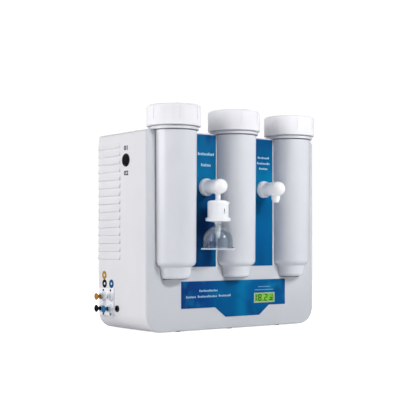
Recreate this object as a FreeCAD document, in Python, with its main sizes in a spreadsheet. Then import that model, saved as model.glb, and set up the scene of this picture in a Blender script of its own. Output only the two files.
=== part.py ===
import FreeCAD, Part
import math
import os
import Sketcher

# A bench-top water purifier: a white housing with three screw-capped canisters half sunk in its front,
# two spouts between them, a display below, and ports, a rocker switch and an inlet on its left side.
# Millimetres. X runs along the front, Y to the back, Z up. The origin is the middle of the underside
# of the middle front foot.

SIZES = {
    # clearances
    "seat_gap": 0.3,
    "running_gap": 0.08,
    "cut_overrun": 1.0,
    # housing
    "housing_width": 444.0,
    "housing_height": 400.0,
    "housing_depth": 178.0,
    "bottom_round": 35.0,
    "top_round": 8.0,
    "shell_wall": 3.0,
    "fascia_plate": 4.0,
    "fascia_edge": 3.0,
    "lip_depth": 10.0,
    "lip_wall": 2.5,
    "rear_flange_width": 12.0,
    "rear_flange_wall": 2.5,
    "cover_wall": 2.5,
    "cover_screw_radius": 1.6,
    "cover_screw_length": 8.0,
    "cover_head_radius": 3.2,
    "cover_head_height": 1.8,
    # tray
    "tray_wall": 1.5,
    "tray_half": 176.0,
    "tray_front": 16.0,
    "tray_depth": 150.0,
    "tray_lip": 12.0,
    # feet
    "foot_inset": 20.0,
    "foot_spread": 133.0,
    "foot_height": 2.5,
    "foot_radius": 6.0,
    "foot_sole_radius": 5.4,
    "foot_stem_radius": 1.92,
    # side slats
    "slat_count": 15,
    "slat_pitch": 16.16,
    "slat_low": 144.0,
    "slat_front": 95.0,
    "slat_hood": 9.5,
    "slat_reach": 2.3,
    "slat_flank": 2.2,
    # canisters
    "canister_pitch": 154.0,
    "bowl_wall": 3.5,
    "bowl_top_radius": 46.2,
    "bowl_low_radius": 44.5,
    "shoulder_height": 125.2,
    "shoulder_round": 11.5,
    "shoulder_hollow": 6.0,
    "cup_top_radius": 34.5,
    "cup_low_radius": 32.4,
    "cup_height": 20.2,
    "cup_round": 8.0,
    "collar_radius": 50.5,
    "collar_round": 1.2,
    "collar_height": 5.2,
    "neck_radius": 46.5,
    "neck_height": 40.0,
    "bay_gap": 2.0,
    "bay_wall": 3.0,
    # screw caps and lids
    "cap_radius": 54.7,
    "cap_top_round": 6.0,
    "cap_ceiling": 4.2,
    "cap_low_round": 2.0,
    "cap_lift_gap": 2.0,
    "cap_thread_gap": 0.5,
    "grip_count": 8,
    "grip_width": 14.0,
    "grip_depth": 1.2,
    "grip_band": 12.0,
    "grip_angle": 15.4,
    "lid_thickness": 4.5,
    "lid_spigot": 16.0,
    "lid_wall": 5.0,
    "ring_section": 1.6,
    "ring_groove": 3.6,
    # cartridges
    "cartridge_headroom": 14.0,
    "cartridge_radius": 32.0,
    "cartridge_end_radius": 34.5,
    "cartridge_end_height": 9.0,
    "cartridge_nipple_radius": 12.0,
    "cartridge_nipple_height": 9.0,
    # canister port fittings
    "port_shank_radius": 5.0,
    "port_head_radius": 6.0,
    "port_head_height": 2.0,
    "port_head_lift": 2.0,
    "port_body_radius": 8.0,
    "port_body_length": 12.0,
    "port_seat_depth": 8.0,
    "upper_port_drop": 28.0,
    # films, label and display
    "film_thickness": 0.5,
    "strip_drop": 12.8,
    "strip_margin": 2.5,
    "label_half_width": 138.8,
    "label_gap": 5.8,
    "label_low": 44.6,
    "tab_low": 24.0,
    "tab_left": -52.5,
    "tab_right": 92.5,
    "tab_bevel": 27.0,
    "display_left": 51.0,
    "display_width": 57.0,
    "display_low": 50.0,
    "display_height": 21.0,
    "display_frame": 2.6,
    "display_proud": 0.8,
    "display_glass": 7.7,
    "board_thickness": 1.6,
    "board_left": -12.0,
    "board_width": 134.0,
    "board_low": 30.0,
    "board_height": 62.0,
    "board_stand_radius": 3.0,
    "board_stand_inset": 6.0,
    # spouts
    "spout_height": 290.0,
    "tail_radius": 6.0,
    "tail_length": 18.0,
    "rosette_radius": 18.0,
    "rosette_rim": 2.5,
    "rosette_depth": 10.5,
    "arm_root_radius": 15.2,
    "arm_waist_radius": 14.1,
    "arm_waist": 20.0,
    "arm_neck_radius": 14.5,
    "ball_radius": 15.0,
    "ball_reach": 47.0,
    "outlet_reach": 40.0,
    "passage_radius": 3.0,
    "stub_radius": 9.1,
    "stub_end_radius": 6.4,
    "stub_straight": 20.0,
    "stub_drop": 28.0,
    "stub_bore_radius": 4.0,
    "stub_bore_depth": 10.0,
    "stub_passage_radius": 2.6,
    "boss_radius": 8.6,
    "boss_cylinder": 11.0,
    "boss_drop": 17.0,
    "nipple_radius": 3.0,
    "nipple_drop": 28.0,
    "nipple_bore_radius": 1.6,
    # capsule filter
    "neck_outer_radius": 5.2,
    "capsule_neck_foot": 27.0,
    "capsule_shoulder": 28.5,
    "capsule_radius": 21.25,
    "capsule_round": 5.5,
    "capsule_wall": 1.8,
    "capsule_flange_radius": 25.0,
    "capsule_flange_top": 63.0,
    "capsule_flange_half": 3.4,
    "capsule_base_drop": 2.6,
    "element_radius": 16.5,
    "element_length": 26.0,
    "vent_drop": 33.0,
    "vent_boss_radius": 4.2,
    "vent_boss_reach": 23.4,
    "vent_stem_radius": 2.0,
    "vent_knob_radius": 3.0,
    "vent_knob_length": 3.2,
    # nozzle and bell
    "nozzle_root_radius": 6.6,
    "nozzle_hub_radius": 6.0,
    "nozzle_hub_top": 76.0,
    "nozzle_hub_low": 86.0,
    "nozzle_barb_radius": 5.0,
    "nozzle_tip_radius": 3.4,
    "nozzle_low": 103.0,
    "nozzle_bore_radius": 1.8,
    "bell_radius": 30.0,
    "bell_wall": 1.6,
    "bell_top": 79.0,
    "bell_skirt": 13.0,
    "bell_rim_radius": 33.5,
    "bell_rim_height": 4.5,
    "bell_hub_wall": 1.7,
    # service plate and ports
    "plate_front": 117.0,
    "plate_size": 56.0,
    "plate_low": 27.6,
    "plate_round": 3.0,
    "plate_wall": 2.0,
    "port_front": 127.0,
    "port_pitch_y": 28.0,
    "port_low": 42.0,
    "port_pitch_z": 24.6,
    "window_front": 118.0,
    "window_width": 46.0,
    "window_low": 33.6,
    "window_height": 41.4,
    "plate_screw_front": 128.5,
    "plate_screw_low": 30.2,
    "plate_screw_rise": 49.1,
    "plate_screw_radius": 1.4,
    "plate_screw_head": 2.3,
    "plate_screw_proud": 1.2,
    "union_flange_radius": 9.4,
    "union_flange_wall": 1.8,
    "union_barrel_radius": 8.2,
    "union_reach": 4.5,
    "union_shank_radius": 6.0,
    "union_shank_length": 26.0,
    "union_seat_radius": 5.2,
    "union_seat_depth": 7.0,
    "union_nut_radius": 8.0,
    "union_nut_height": 5.0,
    "hose_radius": 3.175,
    "collet_travel": 1.4,
    "collet_flange_radius": 6.4,
    "collet_flange_wall": 1.8,
    "collet_barrel": 5.5,
    "plug_insert": 22.0,
    "plug_shoulder": 7.0,
    "plug_neck_radius": 3.9,
    "plug_neck_length": 2.4,
    "plug_flare_radius": 7.5,
    "plug_flare_length": 6.2,
    "plug_rim": 1.8,
    "plug_dish_radius": 5.0,
    "plug_dish_depth": 1.0,
    # rocker switch
    "switch_y": 73.0,
    "switch_height": 343.0,
    "bezel_radius": 13.0,
    "bezel_proud": 2.0,
    "bezel_body_radius": 12.0,
    "bezel_body_depth": 16.0,
    "bezel_bore_radius": 10.2,
    "bezel_bore_depth": 12.0,
    "rocker_radius": 9.85,
    "rocker_pivot_depth": 1.5,
    "rocker_proud": 3.4,
    "rocker_depth": 6.0,
    "rocker_dish_radius": 26.0,
    "rocker_dish": 1.6,
    "rocker_pin_radius": 1.2,
    "rocker_pin_half": 11.6,
    "blade_thickness": 0.8,
    "blade_width": 6.3,
    "blade_length": 8.0,
    "blade_pitch": 6.5,
    # power inlet
    "inlet_y": 105.5,
    "inlet_height": 43.0,
    "inlet_radius": 6.7,
    "inlet_proud": 2.0,
    "inlet_shank_radius": 4.8,
    "inlet_shank_length": 14.0,
    "inlet_bore_radius": 3.1,
    "inlet_bore_depth": 9.0,
    "inlet_pin_radius": 1.0,
    "inlet_nut_radius": 7.4,
    "inlet_nut_height": 3.0,
    # hoses and their sockets
    "hose_bend": 12.0,
    "socket_radius": 6.0,
    "socket_length": 10.0,
    "riser_inset": 54.0,
    "riser_y": 85.0,
    "drain_inset": 47.0,
    "feed_gap": 25.0,
    "link_y": 95.0,
    # outlet valves behind the spouts
    "spout_nut_radius": 11.0,
    "spout_nut_height": 4.0,
    "outlet_valve_half": 12.0,
    "outlet_valve_length": 30.0,
    "outlet_valve_rise": 16.0,
    "outlet_coil_radius": 10.0,
    "outlet_coil_height": 26.0,
    "outlet_port_rise": 7.0,
    "cell_radius": 6.0,
    "cell_length": 24.0,
    # inlet valve
    "inlet_valve_inset": 72.0,
    "inlet_valve_length": 40.0,
    "inlet_valve_front": 85.0,
    "inlet_valve_width": 22.0,
    "inlet_valve_height": 22.0,
    "inlet_coil_radius": 10.5,
    "inlet_coil_height": 24.0,
    # booster pump
    "motor_radius": 32.0,
    "motor_length": 85.0,
    "motor_cap_radius": 24.0,
    "motor_cap_length": 6.0,
    "pump_y": 110.0,
    "pump_height": 50.0,
    "head_half": 31.0,
    "head_round": 8.0,
    "head_length": 35.0,
    "head_socket_inset": 8.7,
    "head_socket_pitch": 18.0,
    "head_socket_offset": 15.0,
    "grommet_radius": 6.0,
    "grommet_height": 4.0,
    "grommet_inset": 8.0,
    "bracket_wall": 2.0,
    "bracket_length": 56.0,
    "bracket_width": 80.0,
    "saddle_half": 25.0,
    # power supply
    "supply_left": -60.0,
    "supply_length": 110.0,
    "supply_front": 62.0,
    "supply_width": 96.0,
    "supply_height": 38.0,
    "supply_slot_count": 8,
    "supply_slot_pitch": 9.0,
    "supply_slot_width": 3.0,
    "supply_slot_inset": 14.0,
    "supply_slot_depth": 1.2,
    # board components
    "chip_size": 14.0,
    "chip_height": 2.4,
    "relay_length": 19.0,
    "relay_width": 15.0,
    "relay_height": 15.0,
    "header_length": 30.0,
    "header_width": 8.0,
    "header_height": 9.0,
    "component_inset": 14.0,
    "component_pitch": 30.0,
}

ZERO_TEXT = "0"
FULL_TURN = 360.0
HALF_TURN = 180.0


class Size:
    """A size on the sheet, or a sum of sizes, held as an expression and as its number."""

    def __init__(self, text, value):
        self.text = text
        self.value = float(value)

    def __add__(self, other):
        other = as_size(other)
        return Size(f"({self.text} + {other.text})", self.value + other.value)

    def __sub__(self, other):
        other = as_size(other)
        return Size(f"({self.text} - {other.text})", self.value - other.value)

    def __mul__(self, factor):
        factor = as_size(factor)
        return Size(f"({self.text} * {factor.text})", self.value * factor.value)

    def __truediv__(self, other):
        other = as_size(other)
        return Size(f"({self.text} / {other.text})", self.value / other.value)

    def __neg__(self):
        return Size(f"(0 - {self.text})", -self.value)


def as_size(number):
    """Turns a plain factor into a size, and leaves a size as it is."""
    if isinstance(number, Size):
        return number
    return Size(f"({number})" if number < 0 else str(number), number)


def root(size):
    """The square root of a size."""
    return Size(f"sqrt({size.text})", math.sqrt(size.value))


class Named:
    """Gives each size on the sheet by its name."""

    def __getattr__(self, name):
        return Size(f"Sizes.{name}", SIZES[name])


doc = FreeCAD.newDocument("UltrapureWaterSystem")
sheet = doc.addObject("Spreadsheet::Sheet", "Sizes")
for row, (alias, value) in enumerate(SIZES.items(), start=1):
    sheet.set(f"A{row}", alias.replace("_", " "))
    sheet.set(f"B{row}", str(value))
    sheet.setAlias(f"B{row}", alias)
doc.recompute()

S = Named()
ZERO = Size(ZERO_TEXT, 0)
NODES = []
CARTRIDGES = []
ROSETTES = []
NUTS = []

half_width = S.housing_width / 2
front_y = -S.foot_inset
base_z = S.foot_height
SIDES = (-1, 1)
BAYS = {"left": -1, "middle": 0, "right": 1}


# Helpers for bodies, sketches and features


def node(item):
    """Lists an object as a piece of its own, written to a file named by its label."""
    NODES.append(item)
    return item


def place(item, x, y, z):
    """Ties an object's place to the sheet."""
    for axis, value in zip("xyz", (x, y, z)):
        item.setExpression(f"Placement.Base.{axis}", as_size(value).text)
    return item


def new_body(label, x=ZERO, y=front_y, z=base_z):
    """Starts a body whose local zero is on the front plane at the housing's underside, unless told else."""
    body = doc.addObject("PartDesign::Body", label)
    body.Label = label
    return place(body, x, y, z)


def origin_part(body, role):
    """One of the body's own origin planes or axes."""
    for feature in body.Origin.OriginFeatures:
        if feature.Role == role:
            return feature
    raise ValueError(role)


def new_sketch(body, plane, lift=ZERO, shift=ZERO):
    """A sketch on an origin plane, lifted along its normal and shifted along its first axis."""
    sketch = body.newObject("Sketcher::SketchObject", f"{body.Name}_sketch")
    sketch.AttachmentSupport = (origin_part(body, plane), [""])
    sketch.MapMode = "FlatFace"
    sketch.setExpression("AttachmentOffset.Base.z", lift.text)
    sketch.setExpression("AttachmentOffset.Base.x", shift.text)
    return sketch


def hold(sketch, kind, geometry, end, value):
    """Ties one coordinate of a point to a size. kind is DistanceX or DistanceY."""
    if value.text == ZERO_TEXT:
        axis = -2 if kind == "DistanceX" else -1
        sketch.addConstraint(Sketcher.Constraint("PointOnObject", geometry, end, axis))
        return
    pair = (-1, 1, geometry, end) if value.value >= 0 else (geometry, end, -1, 1)
    number = sketch.addConstraint(Sketcher.Constraint(kind, *pair, abs(value.value)))
    name = f"{kind}_{number}"
    sketch.renameConstraint(number, name)
    bound = value if value.value >= 0 else -value
    sketch.setExpression(f"Constraints.{name}", bound.text)


def arc_between(start, end, radius, left):
    """An arc from start to end with its centre on the left or on the right."""
    if not left:
        start, end = end, start
    dx, dy = end[0] - start[0], end[1] - start[1]
    span = math.hypot(dx, dy)
    rise = math.sqrt(max(radius**2 - (span / 2) ** 2, 0.0))
    centre = FreeCAD.Vector(
        (start[0] + end[0]) / 2 - dy / span * rise, (start[1] + end[1]) / 2 + dx / span * rise, 0
    )
    first = math.atan2(start[1] - centre.y, start[0] - centre.x)
    last = math.atan2(end[1] - centre.y, end[0] - centre.x)
    circle = Part.Circle(centre, FreeCAD.Vector(0, 0, 1), radius)
    return Part.ArcOfCircle(circle, first, last if last > first else last + 2 * math.pi)


def draw(sketch, points):
    """Closes an outline. A point is (x, y), or (x, y, radius, left) where an arc leads to the next one."""
    first = sketch.GeometryCount
    count = len(points)
    ends = []
    for index, point in enumerate(points):
        ahead = points[(index + 1) % count]
        start = (as_size(point[0]).value, as_size(point[1]).value)
        end = (as_size(ahead[0]).value, as_size(ahead[1]).value)
        if len(point) > 2:
            sketch.addGeometry(arc_between(start, end, point[2].value, point[3]), False)
            ends.append((1, 2) if point[3] else (2, 1))
        else:
            line = Part.LineSegment(FreeCAD.Vector(*start, 0), FreeCAD.Vector(*end, 0))
            sketch.addGeometry(line, False)
            ends.append((1, 2))
    for index, point in enumerate(points):
        after = (index + 1) % count
        link = (first + index, ends[index][1], first + after, ends[after][0])
        sketch.addConstraint(Sketcher.Constraint("Coincident", *link))
    for index, point in enumerate(points):
        geometry = first + index
        hold(sketch, "DistanceX", geometry, ends[index][0], as_size(point[0]))
        hold(sketch, "DistanceY", geometry, ends[index][0], as_size(point[1]))
        if len(point) > 2:
            number = sketch.addConstraint(Sketcher.Constraint("Radius", geometry, point[2].value))
            sketch.renameConstraint(number, f"Radius_{number}")
            sketch.setExpression(f"Constraints.Radius_{number}", point[2].text)


def draw_circle(sketch, x, y, radius):
    """A full circle tied to the sheet by its centre and radius."""
    x, y = as_size(x), as_size(y)
    centre = FreeCAD.Vector(x.value, y.value, 0)
    circle = Part.Circle(centre, FreeCAD.Vector(0, 0, 1), radius.value)
    geometry = sketch.addGeometry(circle, False)
    hold(sketch, "DistanceX", geometry, 3, x)
    hold(sketch, "DistanceY", geometry, 3, y)
    number = sketch.addConstraint(Sketcher.Constraint("Radius", geometry, radius.value))
    sketch.renameConstraint(number, f"Radius_{number}")
    sketch.setExpression(f"Constraints.Radius_{number}", radius.text)


def settle(body, feature, before, cut):
    """Recomputes, and stops the build if a feature added or removed nothing."""
    body.Tip = feature
    doc.recompute()
    change = body.Shape.Volume - before
    if (cut and change >= 0) or (not cut and change <= 0):
        raise ValueError(f"{feature.Name} of {body.Label} changed the volume by {change:.3f}")
    if not body.Shape.isValid():
        raise ValueError(f"{feature.Name} of {body.Label} is not a sound shape")
    return feature


def volume_of(body):
    """The body's volume so far, zero before its first feature."""
    return body.Shape.Volume if body.Tip else 0.0


def turn(body, points, plane="XZ_Plane", axis="V_Axis", cut=False, angle=FULL_TURN, lift=ZERO, shift=ZERO):
    """Revolves an outline about the sketch's own axis, to add to the body or to cut from it."""
    before = volume_of(body)
    sketch = new_sketch(body, plane, lift, shift)
    draw(sketch, points)
    feature = body.newObject("PartDesign::Groove" if cut else "PartDesign::Revolution", f"{body.Name}_turn")
    feature.Profile = sketch
    feature.ReferenceAxis = (sketch, [axis])
    feature.Angle = angle
    return settle(body, feature, before, cut)


def run_out(body, sketch, length, cut, back):
    """Pads or pockets a sketch along its normal, or against it where back is set."""
    before = volume_of(body)
    feature = body.newObject("PartDesign::Pocket" if cut else "PartDesign::Pad", f"{body.Name}_run")
    feature.Profile = sketch
    feature.setExpression("Length", length.text)
    feature.Reversed = back != cut
    return settle(body, feature, before, cut)


def extrude(body, outlines, length, plane="XY_Plane", lift=ZERO, cut=False, back=False):
    """Extrudes one outline, or one with others inside it as holes."""
    sketch = new_sketch(body, plane, lift)
    for points in outlines:
        draw(sketch, points)
    return run_out(body, sketch, length, cut, back)


def drill(body, centres, radius, length, plane, lift=ZERO, back=False, cut=True):
    """Round holes, or round posts where cut is off, at the centres given."""
    sketch = new_sketch(body, plane, lift)
    for x, y in centres:
        draw_circle(sketch, x, y, radius)
    return run_out(body, sketch, length, cut, back)


def soften(body, feature, faces, radius):
    """Rounds every edge of the faces that a test picks."""
    names = [f"Face{n}" for n, face in enumerate(feature.Shape.Faces, start=1) if faces(face)]
    fillet = body.newObject("PartDesign::Fillet", f"{body.Name}_round")
    fillet.Base = (feature, names)
    fillet.setExpression("Radius", radius.text)
    body.Tip = fillet
    doc.recompute()
    return fillet


def rounded(left, low, right, high, low_round, high_round):
    """A rectangle with one radius at its lower corners and one at its upper corners."""
    return [
        (left + low_round, low),
        (right - low_round, low, low_round, True),
        (right, low + low_round),
        (right, high - high_round, high_round, True),
        (right - high_round, high),
        (left + high_round, high, high_round, True),
        (left, high - high_round),
        (left, low + low_round, low_round, True),
    ]


def housing_outline(inset):
    """The housing's front outline, drawn in by inset all round."""
    return rounded(
        inset - half_width,
        inset,
        half_width - inset,
        S.housing_height - inset,
        S.bottom_round - inset,
        S.top_round - inset if inset.value < S.top_round.value else S.top_round / 2,
    )


def hexagon(radius):
    """The corners of a hexagon of that corner radius."""
    side = root(ZERO + 3) / 2
    return [
        (radius, ZERO),
        (radius / 2, radius * side),
        (-(radius / 2), radius * side),
        (-radius, ZERO),
        (-(radius / 2), -(radius * side)),
        (radius / 2, -(radius * side)),
    ]


# Helpers for pieces made of plain solids

UPRIGHT = FreeCAD.Rotation()
ALONG_X = FreeCAD.Rotation(FreeCAD.Vector(0, 1, 0), 90)
ALONG_Y = FreeCAD.Rotation(FreeCAD.Vector(1, 0, 0), -90)


def block(label, x, y, z, length, width, height):
    """A box with its lowest corner at x, y, z."""
    item = doc.addObject("Part::Box", label)
    for name, value in (("Length", length), ("Width", width), ("Height", height)):
        item.setExpression(name, value.text)
    return place(item, x, y, z)


def rod(label, x, y, z, radius, length, rotation=UPRIGHT):
    """A cylinder that starts at x, y, z."""
    item = doc.addObject("Part::Cylinder", label)
    item.Placement = FreeCAD.Placement(FreeCAD.Vector(), rotation)
    item.setExpression("Radius", radius.text)
    item.setExpression("Height", length.text)
    return place(item, x, y, z)


def fuse(label, items):
    """One solid from several."""
    item = doc.addObject("Part::MultiFuse", label)
    item.Shapes = items
    item.Refine = True
    return item


def group(label, items):
    """Identical or related pieces, kept as separate solids in one node."""
    item = doc.addObject("Part::Compound", label)
    item.Label = label
    item.Links = items
    return node(item)


# Canister outline, shared by the bowls and the bays that hold them. The shoulder is two arcs, tangent
# to each other and upright at their ends, so its lean is their common slope.

ONE = ZERO + 1
shoulder_arcs = S.shoulder_round + S.shoulder_hollow
shoulder_lean = ONE - (S.bowl_low_radius - S.cup_top_radius) / shoulder_arcs
shoulder_fall = root(ONE - shoulder_lean * shoulder_lean)
shoulder_top = S.shoulder_height + shoulder_arcs * shoulder_fall
cup_bottom = S.shoulder_height - S.cup_height
label_top = cup_bottom - S.label_gap
canister_y = S.fascia_plate - S.seat_gap


def canister_flank(grow):
    """Radius and height of the bowl's outside from its cup to the housing's top, grown by a gap."""
    cup_round = S.cup_round + grow
    hollow = S.shoulder_hollow - grow
    return [
        (S.cup_low_radius - S.cup_round, cup_bottom - grow, cup_round, True),
        (S.cup_low_radius + grow, cup_bottom + S.cup_round),
        (S.cup_top_radius + grow, S.shoulder_height, hollow, False),
        (
            S.cup_top_radius + grow + hollow * (ONE - shoulder_lean),
            S.shoulder_height + hollow * shoulder_fall,
            S.shoulder_round + grow,
            True,
        ),
        (S.bowl_low_radius + grow, shoulder_top),
        (S.bowl_top_radius + grow, S.housing_height),
    ]


def bay_profile(grow, top):
    """Half of a bay's section, closed along the canister's axis."""
    flank = canister_flank(grow)
    return [(ZERO, cup_bottom - grow), *flank, (S.bowl_top_radius + grow, top), (ZERO, top)]


bay_back = S.bowl_top_radius + S.bay_gap + S.bay_wall
cup_mid_radius = (S.cup_top_radius + S.cup_low_radius) / 2
cup_back = S.cup_top_radius + S.bay_gap + S.bay_wall
lower_port_height = S.shoulder_height - S.port_body_radius - S.seat_gap
upper_port_height = S.housing_height - S.upper_port_drop
port_hole_radius = S.port_shank_radius + S.seat_gap
spout_spread = S.canister_pitch / 2
inlet_valve_left = S.inlet_valve_inset - half_width


# Housing


def build_fascia():
    body = new_body("front_fascia")
    plate = extrude(body, [housing_outline(ZERO)], S.fascia_plate, "XZ_Plane", back=True)
    soften(body, plate, lambda face: face.CenterOfMass.y < S.seat_gap.value, S.fascia_edge)
    inset = S.shell_wall + S.seat_gap
    outlines = [housing_outline(inset), housing_outline(inset + S.lip_wall)]
    extrude(body, outlines, S.lip_depth, "XZ_Plane", lift=-S.fascia_plate, back=True)
    for step in BAYS.values():
        shift = S.canister_pitch * step
        outer = bay_profile(S.bay_gap + S.bay_wall, S.housing_height)[:-2] + [(ZERO, S.housing_height)]
        turn(body, outer, angle=HALF_TURN, lift=-canister_y, shift=shift)
    for step in BAYS.values():
        shift = S.canister_pitch * step
        inner = bay_profile(S.bay_gap, S.housing_height + S.cut_overrun)
        turn(body, inner, cut=True, lift=-canister_y, shift=shift)
    for height, depth in (
        (upper_port_height, bay_back),
        (lower_port_height, cup_back),
    ):
        centres = [(S.canister_pitch * step, height) for step in BAYS.values()]
        reach = canister_y + depth + S.cut_overrun
        drill(body, centres, port_hole_radius, reach, "XZ_Plane", back=True)
    centres = [(spout_spread * side, S.spout_height) for side in SIDES]
    reach = S.fascia_plate + S.cut_overrun
    drill(body, centres, S.tail_radius + S.seat_gap, reach, "XZ_Plane", back=True)
    window = rounded(
        S.display_left - S.seat_gap,
        S.display_low - S.seat_gap,
        S.display_left + S.display_width + S.seat_gap,
        S.display_low + S.display_height + S.seat_gap,
        S.seat_gap,
        S.seat_gap,
    )
    extrude(body, [window], reach, "XZ_Plane", cut=True, back=True)
    return node(body)


def foot_places():
    """Centres of the feet from the front plane, in two rows of three."""
    rows = (S.foot_inset, S.housing_depth - S.foot_inset)
    return [(S.foot_spread * step, row) for row in rows for step in BAYS.values()]


def cover_screw_places():
    """Screw centres round the rear cover, on the shell's flange."""
    inset = S.shell_wall + S.rear_flange_width / 2
    side = half_width - inset
    low, high = S.bottom_round + inset, S.housing_height - S.bottom_round
    places = [(side * edge, height) for edge in SIDES for height in (low, (low + high) / 2, high)]
    levels = (inset, S.housing_height - inset)
    return places + [(side / 2 * edge, level) for edge in SIDES for level in levels]


def port_places():
    """Centres of the four ports from the front plane and the underside, front ones first."""
    columns = (S.port_front, S.port_front + S.port_pitch_y)
    return [(y, z) for y in columns for z in (S.port_low, S.port_low + S.port_pitch_z)]


def plate_screw_places():
    """Centres of the service plate's screws."""
    columns = (S.plate_screw_front, S.plate_screw_front + S.port_pitch_y)
    return [(y, S.plate_screw_low + rise) for y in columns for rise in (ZERO, S.plate_screw_rise)]


def build_shell():
    body = new_body("main_shell")
    start = S.fascia_plate
    extrude(
        body,
        [housing_outline(ZERO), housing_outline(S.shell_wall)],
        S.housing_depth - start,
        "XZ_Plane",
        lift=-start,
        back=True,
    )
    flange_start = S.housing_depth - S.cover_wall - S.rear_flange_wall
    rims = [housing_outline(S.shell_wall), housing_outline(S.shell_wall + S.rear_flange_width)]
    extrude(body, rims, S.rear_flange_wall, "XZ_Plane", lift=-flange_start, back=True)
    slat = [
        (-half_width, S.slat_low - S.slat_flank),
        (-half_width, S.slat_low + S.slat_hood),
        (-half_width - S.slat_reach, S.slat_low),
    ]
    hood = extrude(
        body, [slat], S.housing_depth - S.slat_front, "XZ_Plane", lift=-S.slat_front, back=True
    )
    before = body.Shape.Volume
    row = body.newObject("PartDesign::LinearPattern", "main_shell_slats")
    row.Originals = [hood]
    row.Direction = (origin_part(body, "Z_Axis"), [""])
    row.setExpression("Length", (S.slat_pitch * (S.slat_count - 1)).text)
    row.setExpression("Occurrences", S.slat_count.text)
    settle(body, row, before, False)
    notch = S.shell_wall + S.cut_overrun * 2
    centres = [(S.canister_pitch * step, canister_y) for step in BAYS.values()]
    level = S.housing_height - S.shell_wall - S.cut_overrun
    drill(body, centres, bay_back + S.seat_gap, notch, "XY_Plane", lift=level)
    side = -half_width - S.cut_overrun
    window = rounded(
        S.window_front,
        S.window_low,
        S.window_front + S.window_width,
        S.window_low + S.window_height,
        S.plate_round,
        S.plate_round,
    )
    extrude(body, [window], notch, "YZ_Plane", lift=side, cut=True)
    drill(body, [(S.switch_y, S.switch_height)], S.bezel_body_radius + S.seat_gap, notch, "YZ_Plane", side)
    drill(body, [(S.inlet_y, S.inlet_height)], S.inlet_shank_radius + S.seat_gap, notch, "YZ_Plane", side)
    drill(body, plate_screw_places(), S.plate_screw_radius + S.running_gap, notch, "YZ_Plane", side)
    hole = S.foot_stem_radius + S.running_gap
    drill(body, foot_places(), hole, notch, "XY_Plane", lift=-S.cut_overrun)
    flange_cut = S.rear_flange_wall + S.cut_overrun * 2
    lift = S.cut_overrun - flange_start
    screw_hole = S.cover_screw_radius + S.running_gap
    drill(body, cover_screw_places(), screw_hole, flange_cut, "XZ_Plane", lift=lift, back=True)
    return node(body)


def build_rear_cover():
    body = new_body("rear_cover")
    start = S.housing_depth - S.cover_wall
    outline = housing_outline(S.shell_wall + S.seat_gap)
    extrude(body, [outline], S.cover_wall, "XZ_Plane", lift=-start, back=True)
    hole = S.cover_screw_radius + S.running_gap
    drill(body, cover_screw_places(), hole, S.cover_wall, "XZ_Plane", lift=-start, back=True)
    node(body)
    screws = []
    for number, (x, z) in enumerate(cover_screw_places()):
        top = front_y + S.housing_depth
        shank = rod(f"cover_shank_{number}", x, top - S.cover_screw_length, base_z + z,
                    S.cover_screw_radius, S.cover_screw_length, ALONG_Y)
        head = rod(f"cover_head_{number}", x, top, base_z + z,
                   S.cover_head_radius, S.cover_head_height, ALONG_Y)
        screws.append(fuse(f"cover_screw_{number}", [shank, head]))
    group("rear_cover_screws", screws)


def build_feet():
    feet = []
    for number, (x, y) in enumerate(foot_places()):
        pad = doc.addObject("Part::Cone", f"foot_pad_{number}")
        pad.setExpression("Radius1", S.foot_sole_radius.text)
        pad.setExpression("Radius2", S.foot_radius.text)
        pad.setExpression("Height", S.foot_height.text)
        place(pad, x, front_y + y, ZERO)
        stem = rod(f"foot_stem_{number}", x, front_y + y, base_z, S.foot_stem_radius,
                   S.shell_wall + S.tray_wall)
        feet.append(fuse(f"foot_{number}", [pad, stem]))
    group("rubber_feet", feet)


# Canisters


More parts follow.
